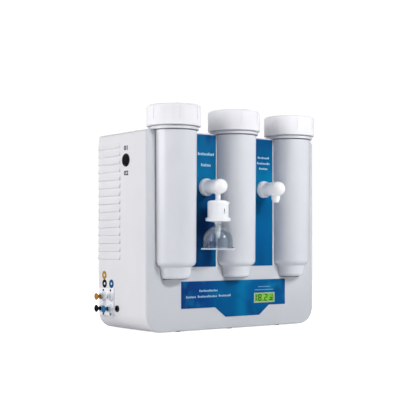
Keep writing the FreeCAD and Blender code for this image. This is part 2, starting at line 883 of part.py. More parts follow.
def build_canister(name, step):
    x = S.canister_pitch * step
    top = S.housing_height
    collar_low = top + S.seat_gap
    collar_top = collar_low + S.collar_height
    neck_top = top + S.neck_height
    bore = S.bowl_top_radius - S.bowl_wall
    floor = cup_bottom + S.bowl_wall
    ledge = shoulder_top
    y = front_y + canister_y

    bowl = new_body(f"canister_bowl_{name}", x, y)
    flank = canister_flank(ZERO)[:-1]
    profile = [
        (ZERO, cup_bottom),
        *flank,
        (S.bowl_top_radius, collar_low),
        (S.collar_radius - S.collar_round, collar_low, S.collar_round, True),
        (S.collar_radius, collar_low + S.collar_round),
        (S.collar_radius, collar_top - S.collar_round, S.collar_round, True),
        (S.collar_radius - S.collar_round, collar_top),
        (S.neck_radius, collar_top),
        (S.neck_radius, neck_top),
        (bore, neck_top),
        (bore, collar_low),
        (S.bowl_low_radius - S.bowl_wall, ledge),
        (S.cup_top_radius - S.bowl_wall, ledge),
        (S.cup_low_radius - S.bowl_wall, cup_bottom + S.cup_round, S.cup_round - S.bowl_wall, False),
        (S.cup_low_radius - S.cup_round, floor),
        (ZERO, floor),
    ]
    turn(bowl, profile)
    for height in (upper_port_height, lower_port_height):
        drill(bowl, [(ZERO, height)], port_hole_radius, S.collar_radius, "XZ_Plane", back=True)
    node(bowl)

    lid_low = neck_top + S.seat_gap
    lid_top = lid_low + S.lid_thickness
    spigot = bore - S.seat_gap
    spigot_low = lid_low - S.lid_spigot
    cartridge = new_body(f"cartridge_{name}", x, y)
    CARTRIDGES.append(cartridge)
    cap_line = spigot_low - S.cartridge_headroom - S.cartridge_nipple_height
    turn(cartridge, [
        (ZERO, ledge),
        (S.cartridge_end_radius, ledge),
        (S.cartridge_end_radius, ledge + S.cartridge_end_height),
        (S.cartridge_radius, ledge + S.cartridge_end_height),
        (S.cartridge_radius, cap_line - S.cartridge_end_height),
        (S.cartridge_end_radius, cap_line - S.cartridge_end_height),
        (S.cartridge_end_radius, cap_line),
        (S.cartridge_nipple_radius, cap_line),
        (S.cartridge_nipple_radius, cap_line + S.cartridge_nipple_height),
        (ZERO, cap_line + S.cartridge_nipple_height),
    ])

    lid = new_body(f"canister_lid_{name}", x, y)
    ring_line = spigot_low + S.lid_spigot / 2
    ring_centre = bore - S.running_gap - S.ring_section
    ring_bed = ring_centre - S.ring_section - S.running_gap
    turn(lid, [
        (ZERO, lid_low),
        (spigot - S.lid_wall, lid_low),
        (spigot - S.lid_wall, spigot_low),
        (spigot, spigot_low),
        (spigot, ring_line - S.ring_groove / 2),
        (ring_bed, ring_line - S.ring_groove / 2),
        (ring_bed, ring_line + S.ring_groove / 2),
        (spigot, ring_line + S.ring_groove / 2),
        (spigot, lid_low),
        (S.neck_radius, lid_low),
        (S.neck_radius, lid_top),
        (ZERO, lid_top),
    ])
    node(lid)

    ring = doc.addObject("Part::Torus", f"lid_ring_{name}")
    ring.setExpression("Radius1", ring_centre.text)
    ring.setExpression("Radius2", S.ring_section.text)
    node(place(ring, x, y, base_z + ring_line))

    cap = new_body(f"canister_cap_{name}", x, y)
    cap.setExpression("Placement.Rotation.Angle", S.grip_angle.text)
    cap_low = collar_top + S.cap_lift_gap
    ceiling = lid_top + S.seat_gap
    cap_top = ceiling + S.cap_ceiling
    cap_bore = S.neck_radius + S.cap_thread_gap
    turn(cap, [
        (ZERO, ceiling),
        (cap_bore, ceiling),
        (cap_bore, cap_low),
        (S.cap_radius - S.cap_low_round, cap_low, S.cap_low_round, True),
        (S.cap_radius, cap_low + S.cap_low_round),
        (S.cap_radius, cap_top - S.cap_top_round, S.cap_top_round, True),
        (S.cap_radius - S.cap_top_round, cap_top),
        (ZERO, cap_top),
    ])
    before = cap.Shape.Volume
    half = S.grip_width / 2
    inner, outer = S.cap_radius - S.grip_depth, S.cap_radius + S.cut_overrun
    grip_low = cap_low + S.grip_band
    grip = extrude(cap, [[(inner, -half), (outer, -half), (outer, half), (inner, half)]],
                   cap_top + S.cut_overrun - grip_low, lift=grip_low, cut=True)
    ring_of = cap.newObject("PartDesign::PolarPattern", f"{cap.Name}_grips")
    ring_of.Originals = [grip]
    ring_of.Axis = (origin_part(cap, "Z_Axis"), [""])
    ring_of.Angle = FULL_TURN
    ring_of.setExpression("Occurrences", S.grip_count.text)
    settle(cap, ring_of, before, True)
    node(cap)


def build_canister_ports():
    """Screw fittings that hold each bowl in its bay and carry the hoses behind."""
    ports = []
    upper = (upper_port_height, S.bowl_top_radius, bay_back)
    lower = (lower_port_height, cup_mid_radius, cup_back)
    for name, step in BAYS.items():
        for level, (height, outside, back) in (("upper", upper), ("lower", lower)):
            head_end = outside - S.bowl_wall - S.port_head_lift
            body_start = back + S.seat_gap
            x, y, z = S.canister_pitch * step, front_y + canister_y, base_z + height
            body = new_body(f"port_{name}_{level}", x, y, z)
            body_end = body_start + S.port_body_length
            bore = S.hose_radius + S.running_gap
            turn(body, [
                (head_end - S.port_head_height, S.passage_radius),
                (head_end - S.port_head_height, S.port_head_radius),
                (head_end, S.port_head_radius),
                (head_end, S.port_shank_radius),
                (body_start, S.port_shank_radius),
                (body_start, S.port_body_radius),
                (body_end, S.port_body_radius),
                (body_end, bore),
                (body_end - S.port_seat_depth, bore),
                (body_end - S.port_seat_depth, S.passage_radius),
            ], plane="YZ_Plane", axis="H_Axis")
            ports.append(body)
    group("canister_ports", ports)


# Films, label and display


def build_films():
    """Strips between the bays, each with one flank cut along the shoulder of the bay beside it."""
    margin = S.bay_gap + S.seat_gap
    right = spout_spread - S.bowl_top_radius - margin - S.strip_margin
    top = S.housing_height - S.fascia_edge
    shoulder_reach = S.shoulder_round + margin
    low = shoulder_top - S.strip_drop
    corner = root(shoulder_reach * shoulder_reach - S.strip_drop * S.strip_drop)
    films = []
    for name, side in (("left", -1), ("right", 1)):
        film = new_body(f"strip_film_{name}", spout_spread * side)
        outline = [
            (S.bowl_low_radius - S.shoulder_round + corner - spout_spread, low),
            (right, low),
            (right, top),
            (S.bowl_top_radius + margin - spout_spread, top),
            (S.bowl_low_radius + margin - spout_spread, shoulder_top, shoulder_reach, False),
        ]
        sketch = new_sketch(film, "XZ_Plane")
        draw(sketch, outline)
        draw_circle(sketch, ZERO, S.spout_height, S.tail_radius + S.seat_gap)
        run_out(film, sketch, S.film_thickness, cut=False, back=False)
        films.append(film)
    group("strip_films", films)

    label = new_body("label_film")
    sketch = new_sketch(label, "XZ_Plane")
    draw(sketch, [
        (-S.label_half_width, S.label_low),
        (S.tab_left, S.label_low),
        (S.tab_left + S.tab_bevel, S.tab_low),
        (S.tab_right - S.tab_bevel, S.tab_low),
        (S.tab_right, S.label_low),
        (S.label_half_width, S.label_low),
        (S.label_half_width, label_top),
        (-S.label_half_width, label_top),
    ])
    draw(sketch, display_outline(-S.seat_gap))
    run_out(label, sketch, S.film_thickness, cut=False, back=False)
    node(label)


def display_outline(inset):
    """The display's rectangle, drawn in by inset."""
    left, low = S.display_left + inset, S.display_low + inset
    right = S.display_left + S.display_width - inset
    high = S.display_low + S.display_height - inset
    return [(left, low), (right, low), (right, high), (left, high)]


def build_display():
    frame = new_body("display_frame")
    outlines = [display_outline(ZERO), display_outline(S.display_frame)]
    depth = S.film_thickness + S.display_proud + S.fascia_plate
    front = S.film_thickness + S.display_proud
    extrude(frame, outlines, depth, "XZ_Plane", lift=front, back=True)
    node(frame)

    glass = new_body("display_module")
    behind = S.fascia_plate
    extrude(glass, [display_outline(S.seat_gap)], S.display_glass, "XZ_Plane", lift=-behind, back=True)
    pane = S.fascia_plate - S.display_proud
    extrude(glass, [display_outline(S.display_frame + S.seat_gap)], pane, "XZ_Plane",
            lift=-behind, back=False)
    node(glass)

    board = new_body("control_board")
    left, low = S.board_left, S.board_low
    right, high = left + S.board_width, low + S.board_height
    board_y = S.fascia_plate + S.display_glass
    extrude(board, [[(left, low), (right, low), (right, high), (left, high)]], S.board_thickness,
            "XZ_Plane", lift=-board_y, back=True)
    node(board)
    stands = []
    inset = S.board_stand_inset
    places = [(x, z) for x in (left + inset, right - inset) for z in (low + inset, high - inset)]
    for number, (x, z) in enumerate(places):
        stands.append(rod(f"stand_{number}", x, front_y + S.fascia_plate, base_z + z,
                          S.board_stand_radius, S.display_glass, ALONG_Y))
    group("board_standoffs", stands)


# Spouts


def build_spout(name, side):
    front = S.film_thickness
    x, z = spout_spread * side, base_z + S.spout_height
    y = front_y - front

    rosette = new_body(f"spout_rosette_{name}", x, y, z)
    hole = S.tail_radius + S.seat_gap
    drop = S.rosette_depth - S.rosette_rim
    rise = S.rosette_radius - S.arm_root_radius
    dome = (drop * drop + rise * rise) / (rise * 2)
    turn(rosette, [
        (ZERO, hole),
        (-S.rosette_depth, hole),
        (-S.rosette_depth, S.arm_root_radius, dome, False),
        (-S.rosette_rim, S.rosette_radius),
        (ZERO, S.rosette_radius),
    ], plane="YZ_Plane", axis="H_Axis")
    ROSETTES.append(rosette)
    nut = new_body(f"spout_nut_{name}", x, front_y, z)
    sketch = new_sketch(nut, "XZ_Plane", lift=-S.fascia_plate)
    draw(sketch, hexagon(S.spout_nut_radius))
    draw_circle(sketch, ZERO, ZERO, hole)
    run_out(nut, sketch, S.spout_nut_height, cut=False, back=True)
    NUTS.append(nut)

    arm = new_body(f"spout_arm_{name}", x, y, z)
    root_line = -S.rosette_depth - S.seat_gap
    tail_end = front + S.fascia_plate + S.tail_length
    ball_start = root(S.ball_radius * S.ball_radius - S.arm_neck_radius * S.arm_neck_radius) - S.ball_reach
    fall = S.arm_waist - S.rosette_depth
    flare = S.arm_root_radius - S.arm_waist_radius
    hollow = (fall * fall + flare * flare) / (flare * 2)
    turn(arm, [
        (tail_end, ZERO),
        (tail_end, S.tail_radius),
        (root_line, S.tail_radius),
        (root_line, S.arm_root_radius - S.seat_gap / 2, hollow, False),
        (-S.arm_waist, S.arm_waist_radius),
        (ball_start, S.arm_neck_radius, S.ball_radius, True),
        (-S.ball_reach - S.ball_radius, ZERO),
    ], plane="YZ_Plane", axis="H_Axis")
    if side > 0:
        turn(arm, [
            (ZERO, ZERO),
            (ZERO, -S.stub_drop),
            (S.stub_end_radius, -S.stub_drop),
            (S.stub_radius, -S.stub_straight),
            (S.stub_radius, ZERO),
        ], lift=S.outlet_reach)
    else:
        turn(arm, [
            (ZERO, ZERO),
            (ZERO, -S.nipple_drop),
            (S.nipple_radius, -S.nipple_drop),
            (S.nipple_radius, -S.boss_drop),
            (S.neck_outer_radius, -S.boss_drop),
            (S.boss_radius, -S.boss_cylinder),
            (S.boss_radius, ZERO),
        ], lift=S.outlet_reach)
    bore_end = S.outlet_reach + S.passage_radius
    drill(arm, [(ZERO, ZERO)], S.passage_radius, bore_end + tail_end, "XZ_Plane", lift=-tail_end)
    if side > 0:
        mouth_radius, mouth_depth, down = S.stub_bore_radius, S.stub_bore_depth, S.stub_drop
        turn(arm, [
            (ZERO, ZERO), (ZERO, -down), (mouth_radius, -down), (mouth_radius, mouth_depth - down),
            (S.stub_passage_radius, mouth_depth - down), (S.stub_passage_radius, ZERO),
        ], cut=True, lift=S.outlet_reach)
    else:
        turn(arm, [
            (ZERO, ZERO), (ZERO, -S.nipple_drop), (S.nipple_bore_radius, -S.nipple_drop),
            (S.nipple_bore_radius, ZERO),
        ], cut=True, lift=S.outlet_reach)
    node(arm)


# Capsule filter, nozzle and bell on the left spout

capsule_x = -spout_spread
capsule_y = front_y - S.film_thickness - S.outlet_reach
capsule_z = base_z + S.spout_height


def build_capsule():
    at = (capsule_x, capsule_y, capsule_z)
    bore = S.nipple_radius + S.running_gap
    neck_top = -S.boss_drop - S.seat_gap
    wall = S.capsule_wall
    inner = S.capsule_radius - wall
    split = -S.capsule_flange_top - S.capsule_flange_half
    upper = new_body("capsule_upper", *at)
    turn(upper, [
        (bore, neck_top),
        (S.neck_outer_radius, neck_top),
        (S.neck_outer_radius, -S.capsule_neck_foot),
        (S.capsule_radius - S.capsule_round, -S.capsule_shoulder, S.capsule_round, False),
        (S.capsule_radius, -S.capsule_shoulder - S.capsule_round),
        (S.capsule_radius, -S.capsule_flange_top),
        (S.capsule_flange_radius, -S.capsule_flange_top),
        (S.capsule_flange_radius, split),
        (inner, split),
        (inner, -S.capsule_shoulder - wall * 2),
        (bore, -S.capsule_shoulder - wall * 2),
    ])
    boss = new_sketch(upper, "YZ_Plane", lift=inner + S.seat_gap)
    draw_circle(boss, ZERO, -S.vent_drop, S.vent_boss_radius)
    run_out(upper, boss, S.vent_boss_reach - inner - S.seat_gap, cut=False, back=False)
    drill(upper, [(ZERO, -S.vent_drop)], S.vent_stem_radius + S.running_gap, S.vent_boss_reach - inner + wall,
          "YZ_Plane", lift=inner - wall)
    node(upper)

    lower = new_body("capsule_base", *at)
    base_low = split - S.capsule_flange_half
    foot = base_low - S.capsule_base_drop
    socket = S.nozzle_barb_radius + S.seat_gap
    turn(lower, [
        (socket, foot),
        (S.nozzle_root_radius + wall, foot),
        (S.capsule_radius, base_low),
        (S.capsule_flange_radius, base_low),
        (S.capsule_flange_radius, split),
        (inner - S.seat_gap, split),
        (inner - S.seat_gap, split + S.capsule_flange_half),
        (inner - S.seat_gap - wall, split + S.capsule_flange_half),
        (inner - S.seat_gap - wall, split),
        (socket, split),
    ])
    node(lower)

    element = rod("filter_element", capsule_x, capsule_y, capsule_z + split, S.element_radius,
                  S.element_length)
    node(element)

    knob = S.vent_boss_reach + S.seat_gap
    stem = rod("vent_stem", capsule_x + inner + S.seat_gap, capsule_y, capsule_z - S.vent_drop,
               S.vent_stem_radius, knob - inner, ALONG_X)
    head = rod("vent_head", capsule_x + knob, capsule_y, capsule_z - S.vent_drop,
               S.vent_knob_radius, S.vent_knob_length, ALONG_X)
    plug = fuse("vent_plug", [stem, head])
    plug.Label = "vent_plug"
    node(plug)

    nozzle = new_body("outlet_nozzle", *at)
    turn(nozzle, [
        (S.nozzle_bore_radius, split),
        (S.nozzle_barb_radius, split),
        (S.nozzle_barb_radius, foot),
        (S.nozzle_root_radius, foot),
        (S.nozzle_root_radius, -S.nozzle_hub_top),
        (S.nozzle_hub_radius, -S.nozzle_hub_top),
        (S.nozzle_hub_radius, -S.nozzle_hub_low),
        (S.nozzle_barb_radius, -S.nozzle_hub_low),
        (S.nozzle_barb_radius, -(S.nozzle_hub_low + S.nozzle_low) / 2),
        ((S.nozzle_barb_radius + S.nozzle_tip_radius) / 2, -(S.nozzle_hub_low + S.nozzle_low) / 2),
        (S.nozzle_tip_radius, -S.nozzle_low),
        (S.nozzle_bore_radius, -S.nozzle_low),
    ])
    node(nozzle)

    bell = new_body("bell_guard", *at)
    hub_bore = S.nozzle_hub_radius + S.running_gap
    hub = hub_bore + S.bell_hub_wall
    wall = S.bell_wall
    centre = -S.bell_top - S.bell_radius
    skirt_low = centre - S.bell_skirt
    rim_low = skirt_low - S.bell_rim_height
    inner = S.bell_radius - wall
    out_start = centre + root(S.bell_radius * S.bell_radius - hub * hub)
    in_start = centre + root(inner * inner - hub * hub)
    hub_low = -S.nozzle_hub_low + S.seat_gap
    hub_top = -S.nozzle_hub_top - S.seat_gap
    turn(bell, [
        (hub_bore, hub_low),
        (hub, hub_low),
        (hub, in_start, inner, False),
        (inner, centre),
        (inner, rim_low),
        (S.bell_rim_radius, rim_low),
        (S.bell_rim_radius, skirt_low),
        (S.bell_radius, skirt_low),
        (S.bell_radius, centre, S.bell_radius, True),
        (hub, out_start),
        (hub, hub_top),
        (hub_bore, hub_top),
    ])
    node(bell)


# Service plate, ports, collets and plugs on the left side


def build_service_plate():
    plate = new_body("service_plate")
    outline = rounded(
        S.plate_front, S.plate_low, S.plate_front + S.plate_size, S.plate_low + S.plate_size,
        S.plate_round, S.plate_round,
    )
    lift = -half_width - S.plate_wall
    extrude(plate, [outline], S.plate_wall, "YZ_Plane", lift=lift)
    drill(plate, port_places(), S.union_shank_radius + S.seat_gap, S.plate_wall, "YZ_Plane", lift=lift)
    hole = S.plate_screw_radius + S.running_gap
    drill(plate, plate_screw_places(), hole, S.plate_wall, "YZ_Plane", lift=lift)
    node(plate)
    screws = []
    face = -half_width - S.plate_wall
    for number, (y, z) in enumerate(plate_screw_places()):
        at = (front_y + y, base_z + z)
        shank = rod(f"plate_shank_{number}", face, *at, S.plate_screw_radius,
                    S.plate_wall + S.shell_wall, ALONG_X)
        head = rod(f"plate_head_{number}", face - S.plate_screw_proud, *at, S.plate_screw_head,
                   S.plate_screw_proud, ALONG_X)
        screws.append(fuse(f"plate_screw_{number}", [shank, head]))
    group("service_plate_screws", screws)


def build_ports():
    face = -half_width - S.plate_wall
    unions = []
    mouth = -S.union_reach
    seat = S.union_seat_radius
    hose = S.hose_radius + S.running_gap
    for number, (y, z) in enumerate(port_places()):
        at = (face, front_y + y, base_z + z)
        union = new_body(f"union_{number}", *at)
        turn(union, [
            (mouth, seat),
            (mouth, S.union_barrel_radius),
            (-S.union_flange_wall, S.union_barrel_radius),
            (-S.union_flange_wall, S.union_flange_radius),
            (ZERO, S.union_flange_radius),
            (ZERO, S.union_shank_radius),
            (S.union_shank_length, S.union_shank_radius),
            (S.union_shank_length, hose),
            (S.union_shank_length - S.port_seat_depth, hose),
            (S.union_shank_length - S.port_seat_depth, S.passage_radius),
            (S.plug_insert - S.plug_shoulder, S.passage_radius),
            (S.plug_insert - S.plug_shoulder, hose),
            (mouth + S.union_seat_depth, hose),
            (mouth + S.union_seat_depth, seat),
        ], axis="H_Axis")
        unions.append(union)
        nut = new_body(f"union_nut_{number}", *at)
        sketch = new_sketch(nut, "YZ_Plane", lift=S.plate_wall)
        draw(sketch, hexagon(S.union_nut_radius))
        draw_circle(sketch, ZERO, ZERO, S.union_shank_radius + S.seat_gap)
        run_out(nut, sketch, S.union_nut_height, cut=False, back=False)
        NUTS.append(nut)

        collet = new_body(f"collet_{number + 1}", *at)
        flange_in = mouth - S.collet_travel - S.seat_gap
        flange_out = flange_in - S.collet_flange_wall
        barrel = mouth + S.collet_barrel - S.collet_travel - S.seat_gap
        turn(collet, [
            (flange_out, hose),
            (flange_out, S.collet_flange_radius),
            (flange_in, S.collet_flange_radius),
            (flange_in, seat - S.running_gap),
            (barrel, seat - S.running_gap),
            (barrel, hose),
        ], axis="H_Axis")
        node(collet)
    group("port_unions", unions)


def build_plugs():
    face = -half_width - S.plate_wall
    start = -S.union_reach - S.collet_travel - S.collet_flange_wall - S.seat_gap * 2
    waist = start - S.plug_neck_length
    flare = waist - S.plug_flare_length
    end = flare - S.plug_rim
    rise = S.plug_flare_radius - S.plug_neck_radius
    sweep = (S.plug_flare_length * S.plug_flare_length + rise * rise) / (rise * 2)
    rear, front = S.port_front + S.port_pitch_y, S.port_front
    upper, lower = S.port_low + S.port_pitch_z, S.port_low
    for name, y, z in (("orange", rear, upper), ("black", rear, lower), ("blue", front, lower)):
        plug = new_body(f"plug_{name}", face, front_y + y, base_z + z)
        tip = start + S.plug_insert
        turn(plug, [
            (tip, ZERO),
            (tip, S.hose_radius),
            (start, S.hose_radius),
            (start, S.plug_neck_radius),
            (waist, S.plug_neck_radius, sweep, True),
            (flare, S.plug_flare_radius),
            (end, S.plug_flare_radius),
            (end, S.plug_dish_radius),
            (end + S.plug_dish_depth, S.plug_dish_radius),
            (end + S.plug_dish_depth, ZERO),
        ], axis="H_Axis")
        node(plug)


# Rocker switch and power inlet


def build_switch():
    at = (-half_width, front_y + S.switch_y, base_z + S.switch_height)
    bezel = new_body("switch_bezel", *at)
    depth = S.bezel_bore_depth
    turn(bezel, [
        (-S.bezel_proud, S.bezel_bore_radius),
        (-S.bezel_proud, S.bezel_radius - S.bezel_proud / 2, S.bezel_proud / 2, False),
        (-S.bezel_proud / 2, S.bezel_radius),
        (ZERO, S.bezel_radius),
        (ZERO, S.bezel_body_radius),
        (S.bezel_body_depth, S.bezel_body_radius),
        (S.bezel_body_depth, ZERO),
        (depth, ZERO),
        (depth, S.bezel_bore_radius),
    ], axis="H_Axis")
    hole = S.rocker_pin_radius + S.running_gap
    drill(bezel, [(S.rocker_pivot_depth, ZERO)], hole, S.bezel_body_radius * 2, "XZ_Plane",
          lift=S.bezel_body_radius, back=True)
    for step in BAYS.values():
        centre = S.blade_pitch * step
        half = S.blade_thickness / 2
        extrude(bezel, [[
            (-(S.blade_width / 2), centre - half), (S.blade_width / 2, centre - half),
            (S.blade_width / 2, centre + half), (-(S.blade_width / 2), centre + half),
        ]], S.blade_length, "YZ_Plane", lift=S.bezel_body_depth)
    node(bezel)

    rocker = new_body("switch_rocker", *at)
    ball = S.rocker_radius
    pivot = S.rocker_pivot_depth
    front, rear = -S.rocker_proud, S.rocker_depth
    front_rise = root(ball * ball - (pivot - front) * (pivot - front))
    rear_rise = root(ball * ball - (rear - pivot) * (rear - pivot))
    turn(rocker, [
        (front, ZERO),
        (rear, ZERO),
        (rear, rear_rise, ball, True),
        (front, front_rise),
    ], axis="H_Axis")
    dish = new_sketch(rocker, "XZ_Plane", lift=ball)
    draw_circle(dish, front - S.rocker_dish_radius + S.rocker_dish, ZERO, S.rocker_dish_radius)
    run_out(rocker, dish, ball * 2, cut=True, back=True)
    drill(rocker, [(pivot, ZERO)], S.rocker_pin_radius, S.rocker_pin_half * 2, "XZ_Plane",
          lift=S.rocker_pin_half, back=True, cut=False)
    node(rocker)


def build_inlet():
    at = (-half_width, front_y + S.inlet_y, base_z + S.inlet_height)
    inlet = new_body("power_inlet", *at)
    floor = S.inlet_bore_depth - S.inlet_proud
    turn(inlet, [
        (-(S.inlet_proud / 2), ZERO),
        (-(S.inlet_proud / 2), S.inlet_pin_radius),
        (floor, S.inlet_pin_radius),
        (floor, S.inlet_bore_radius),
        (-S.inlet_proud, S.inlet_bore_radius),
        (-S.inlet_proud, S.inlet_radius),
        (ZERO, S.inlet_radius),
        (ZERO, S.inlet_shank_radius),
        (S.inlet_shank_length, S.inlet_shank_radius),
        (S.inlet_shank_length, ZERO),
    ], axis="H_Axis")
    node(inlet)
    nut = new_body("power_inlet_nut", *at)
    sketch = new_sketch(nut, "YZ_Plane", lift=S.shell_wall)
    draw(sketch, hexagon(S.inlet_nut_radius))
    draw_circle(sketch, ZERO, ZERO, S.inlet_shank_radius + S.seat_gap)
    run_out(nut, sketch, S.inlet_nut_height, cut=False, back=False)
    NUTS.append(nut)


# Inside: tray, pump, power supply, valves, board parts and hoses

tray_low = S.shell_wall + S.seat_gap
tray_top = tray_low + S.tray_wall
socket_reach = S.socket_length - S.port_seat_depth
pump_head_x = S.canister_pitch - S.head_socket_inset


def socket(body, x, y, plane, lift, back=False):
    """A hose socket standing off a face, bored from its mouth."""
    along = -1 if back else 1
    drill(body, [(x, y)], S.socket_radius, S.socket_length, plane, lift, back, cut=False)
    seat = lift + socket_reach * along
    drill(body, [(x, y)], S.hose_radius + S.running_gap, S.port_seat_depth, plane, seat, back)


def build_tray():
    tray = new_body("base_tray")
    front, rear = S.tray_front, S.tray_front + S.tray_depth
    lip = tray_low + S.tray_lip
    wall = S.tray_wall
    extrude(tray, [[
        (front, tray_low), (rear, tray_low), (rear, lip), (rear - wall, lip), (rear - wall, tray_top),
        (front + wall, tray_top), (front + wall, lip), (front, lip),
    ]], S.tray_half * 2, "YZ_Plane", lift=-S.tray_half)
    drill(tray, foot_places(), S.foot_stem_radius + S.running_gap, S.tray_wall, "XY_Plane", lift=tray_low)
    node(tray)


def build_pump():
    axis_z = base_z + S.pump_height
    axis_y = front_y + S.pump_y
    motor_end = pump_head_x - S.seat_gap
    motor_start = motor_end - S.motor_length
    can = rod("motor_can", motor_start, axis_y, axis_z, S.motor_radius, S.motor_length, ALONG_X)
    end = rod("motor_end", motor_start - S.motor_cap_length, axis_y, axis_z, S.motor_cap_radius,
              S.motor_cap_length, ALONG_X)
    motor = fuse("pump_motor", [can, end])
    motor.Label = "pump_motor"
    node(motor)

    head = new_body("pump_head")
    half = S.head_half
    outline = rounded(
        S.pump_y - half, S.pump_height - half, S.pump_y + half, S.pump_height + half,
        S.head_round, S.head_round,
    )
    extrude(head, [outline], S.head_length, "YZ_Plane", lift=pump_head_x)
    for x, y in pump_sockets():
        socket(head, x, y, "XY_Plane", S.pump_height + half)
    node(head)

    bracket = new_body("pump_bracket")
    low = tray_top + S.grommet_height
    saddle_radius = S.motor_radius + S.seat_gap
    saddle_top = S.pump_height - root(saddle_radius * saddle_radius - S.saddle_half * S.saddle_half)
    wall = low + S.bracket_wall
    side = S.bracket_width / 2
    start = motor_start + (S.motor_length - S.bracket_length) / 2
    extrude(bracket, [[
        (S.pump_y - side, low),
        (S.pump_y + side, low),
        (S.pump_y + side, wall),
        (S.pump_y + S.saddle_half, wall),
        (S.pump_y + S.saddle_half, saddle_top, saddle_radius, False),
        (S.pump_y - S.saddle_half, saddle_top),
        (S.pump_y - S.saddle_half, wall),
        (S.pump_y - side, wall),
    ]], S.bracket_length, "YZ_Plane", lift=start)
    node(bracket)
    grommets = []
    inset = S.grommet_inset
    corners = [(x, y) for x in (start + inset, start + S.bracket_length - inset)
               for y in (axis_y - side + inset, axis_y + side - inset)]
    for number, (x, y) in enumerate(corners):
        grommets.append(rod(f"grommet_{number}", x, y, base_z + tray_top, S.grommet_radius,
                            S.grommet_height))
    group("pump_grommets", grommets)


def pump_sockets():
    """Centres of the pump head's two hose sockets, the inlet first."""
    inlet = (S.canister_pitch, S.pump_y)
    return [inlet, (inlet[0] + S.head_socket_pitch, inlet[1] + S.head_socket_offset)]


def build_supply():
    supply = new_body("power_supply")
    left, front = S.supply_left, S.supply_front
    right, rear = left + S.supply_length, front + S.supply_width
    low = tray_top + S.seat_gap
    top = low + S.supply_height
    extrude(supply, [[(left, front), (right, front), (right, rear), (left, rear)]], S.supply_height,
            lift=low)
    inset = S.supply_slot_inset
    slot_front = front + inset
    slot = [
        (left + inset, slot_front), (right - inset, slot_front),
        (right - inset, slot_front + S.supply_slot_width), (left + inset, slot_front + S.supply_slot_width),
    ]
    cut = extrude(supply, [slot], S.supply_slot_depth, lift=top - S.supply_slot_depth, cut=True)
    before = supply.Shape.Volume
    row = supply.newObject("PartDesign::LinearPattern", "power_supply_slots")
    row.Originals = [cut]
    row.Direction = (origin_part(supply, "Y_Axis"), [""])
    row.setExpression("Length", (S.supply_slot_pitch * (S.supply_slot_count - 1)).text)
    row.setExpression("Occurrences", S.supply_slot_count.text)
    settle(supply, row, before, True)
    node(supply)


def build_inlet_valve():
    valve = new_body("inlet_valve")
    left, front = inlet_valve_left, S.inlet_valve_front
    right, rear = left + S.inlet_valve_length, front + S.inlet_valve_width
    low = tray_top + S.seat_gap
    extrude(valve, [[(left, front), (right, front), (right, rear), (left, rear)]], S.inlet_valve_height,
            lift=low)
    centre = ((left + right) / 2, (front + rear) / 2)
    top = low + S.inlet_valve_height
    drill(valve, [centre], S.inlet_coil_radius, S.inlet_coil_height, "XY_Plane", lift=top, cut=False)
    middle = low + S.inlet_valve_height / 2
    socket(valve, centre[1], middle, "YZ_Plane", left, back=True)
    socket(valve, centre[1], middle, "YZ_Plane", right)
    node(valve)


def outlet_valve_y():
    """Front and back of the outlet valves, from the front plane."""
    front = S.fascia_plate + S.spout_nut_height + S.seat_gap
    return front, front + S.outlet_valve_length


def build_outlet_valves():
    front, rear = outlet_valve_y()
    half, rise = S.outlet_valve_half, S.outlet_valve_rise
    valves = []
    for name, side in (("left", -1), ("right", 1)):
        valve = new_body(f"outlet_valve_{name}", spout_spread * side, front_y, base_z + S.spout_height)
        extrude(valve, [[(-half, -rise), (half, -rise), (half, rise), (-half, rise)]],
                S.outlet_valve_length, "XZ_Plane", lift=-front, back=True)
        tail = S.fascia_plate + S.tail_length + S.seat_gap - front
        drill(valve, [(ZERO, ZERO)], S.tail_radius + S.seat_gap, tail, "XZ_Plane", lift=-front, back=True)
        middle = (front + rear) / 2
        drill(valve, [(ZERO, middle)], S.outlet_coil_radius, S.outlet_coil_height, "XY_Plane", lift=rise,
              cut=False)
        socket(valve, ZERO, -S.outlet_port_rise, "XZ_Plane", -rear, back=True)
        if side > 0:
            socket(valve, ZERO, S.outlet_port_rise, "XZ_Plane", -rear, back=True)
        valves.append(valve)
    group("outlet_valves", valves)
    cell = rod("conductivity_cell", -spout_spread, front_y + (front + rear) / 2,
               base_z + S.spout_height - rise - S.seat_gap - S.cell_length, S.cell_radius, S.cell_length)
    node(cell)


def build_board_parts():
    board_back = front_y + S.fascia_plate + S.display_glass + S.board_thickness
    left = S.board_left + S.component_inset
    low = base_z + S.board_low + S.component_inset
    pieces = []
    for number, step in enumerate(BAYS.values()):
        x = left + S.component_pitch * (step + 1)
        pieces.append(block(f"relay_{number}", x, board_back, low, S.relay_length, S.relay_height,
                            S.relay_width))
    high = low + S.relay_width + S.header_width
    pieces.append(block("chip", left, board_back, high, S.chip_size, S.chip_height, S.chip_size))
    pieces.append(block("header", left + S.component_pitch, board_back, high, S.header_length,
                        S.header_height, S.header_width))
    group("board_parts", pieces)


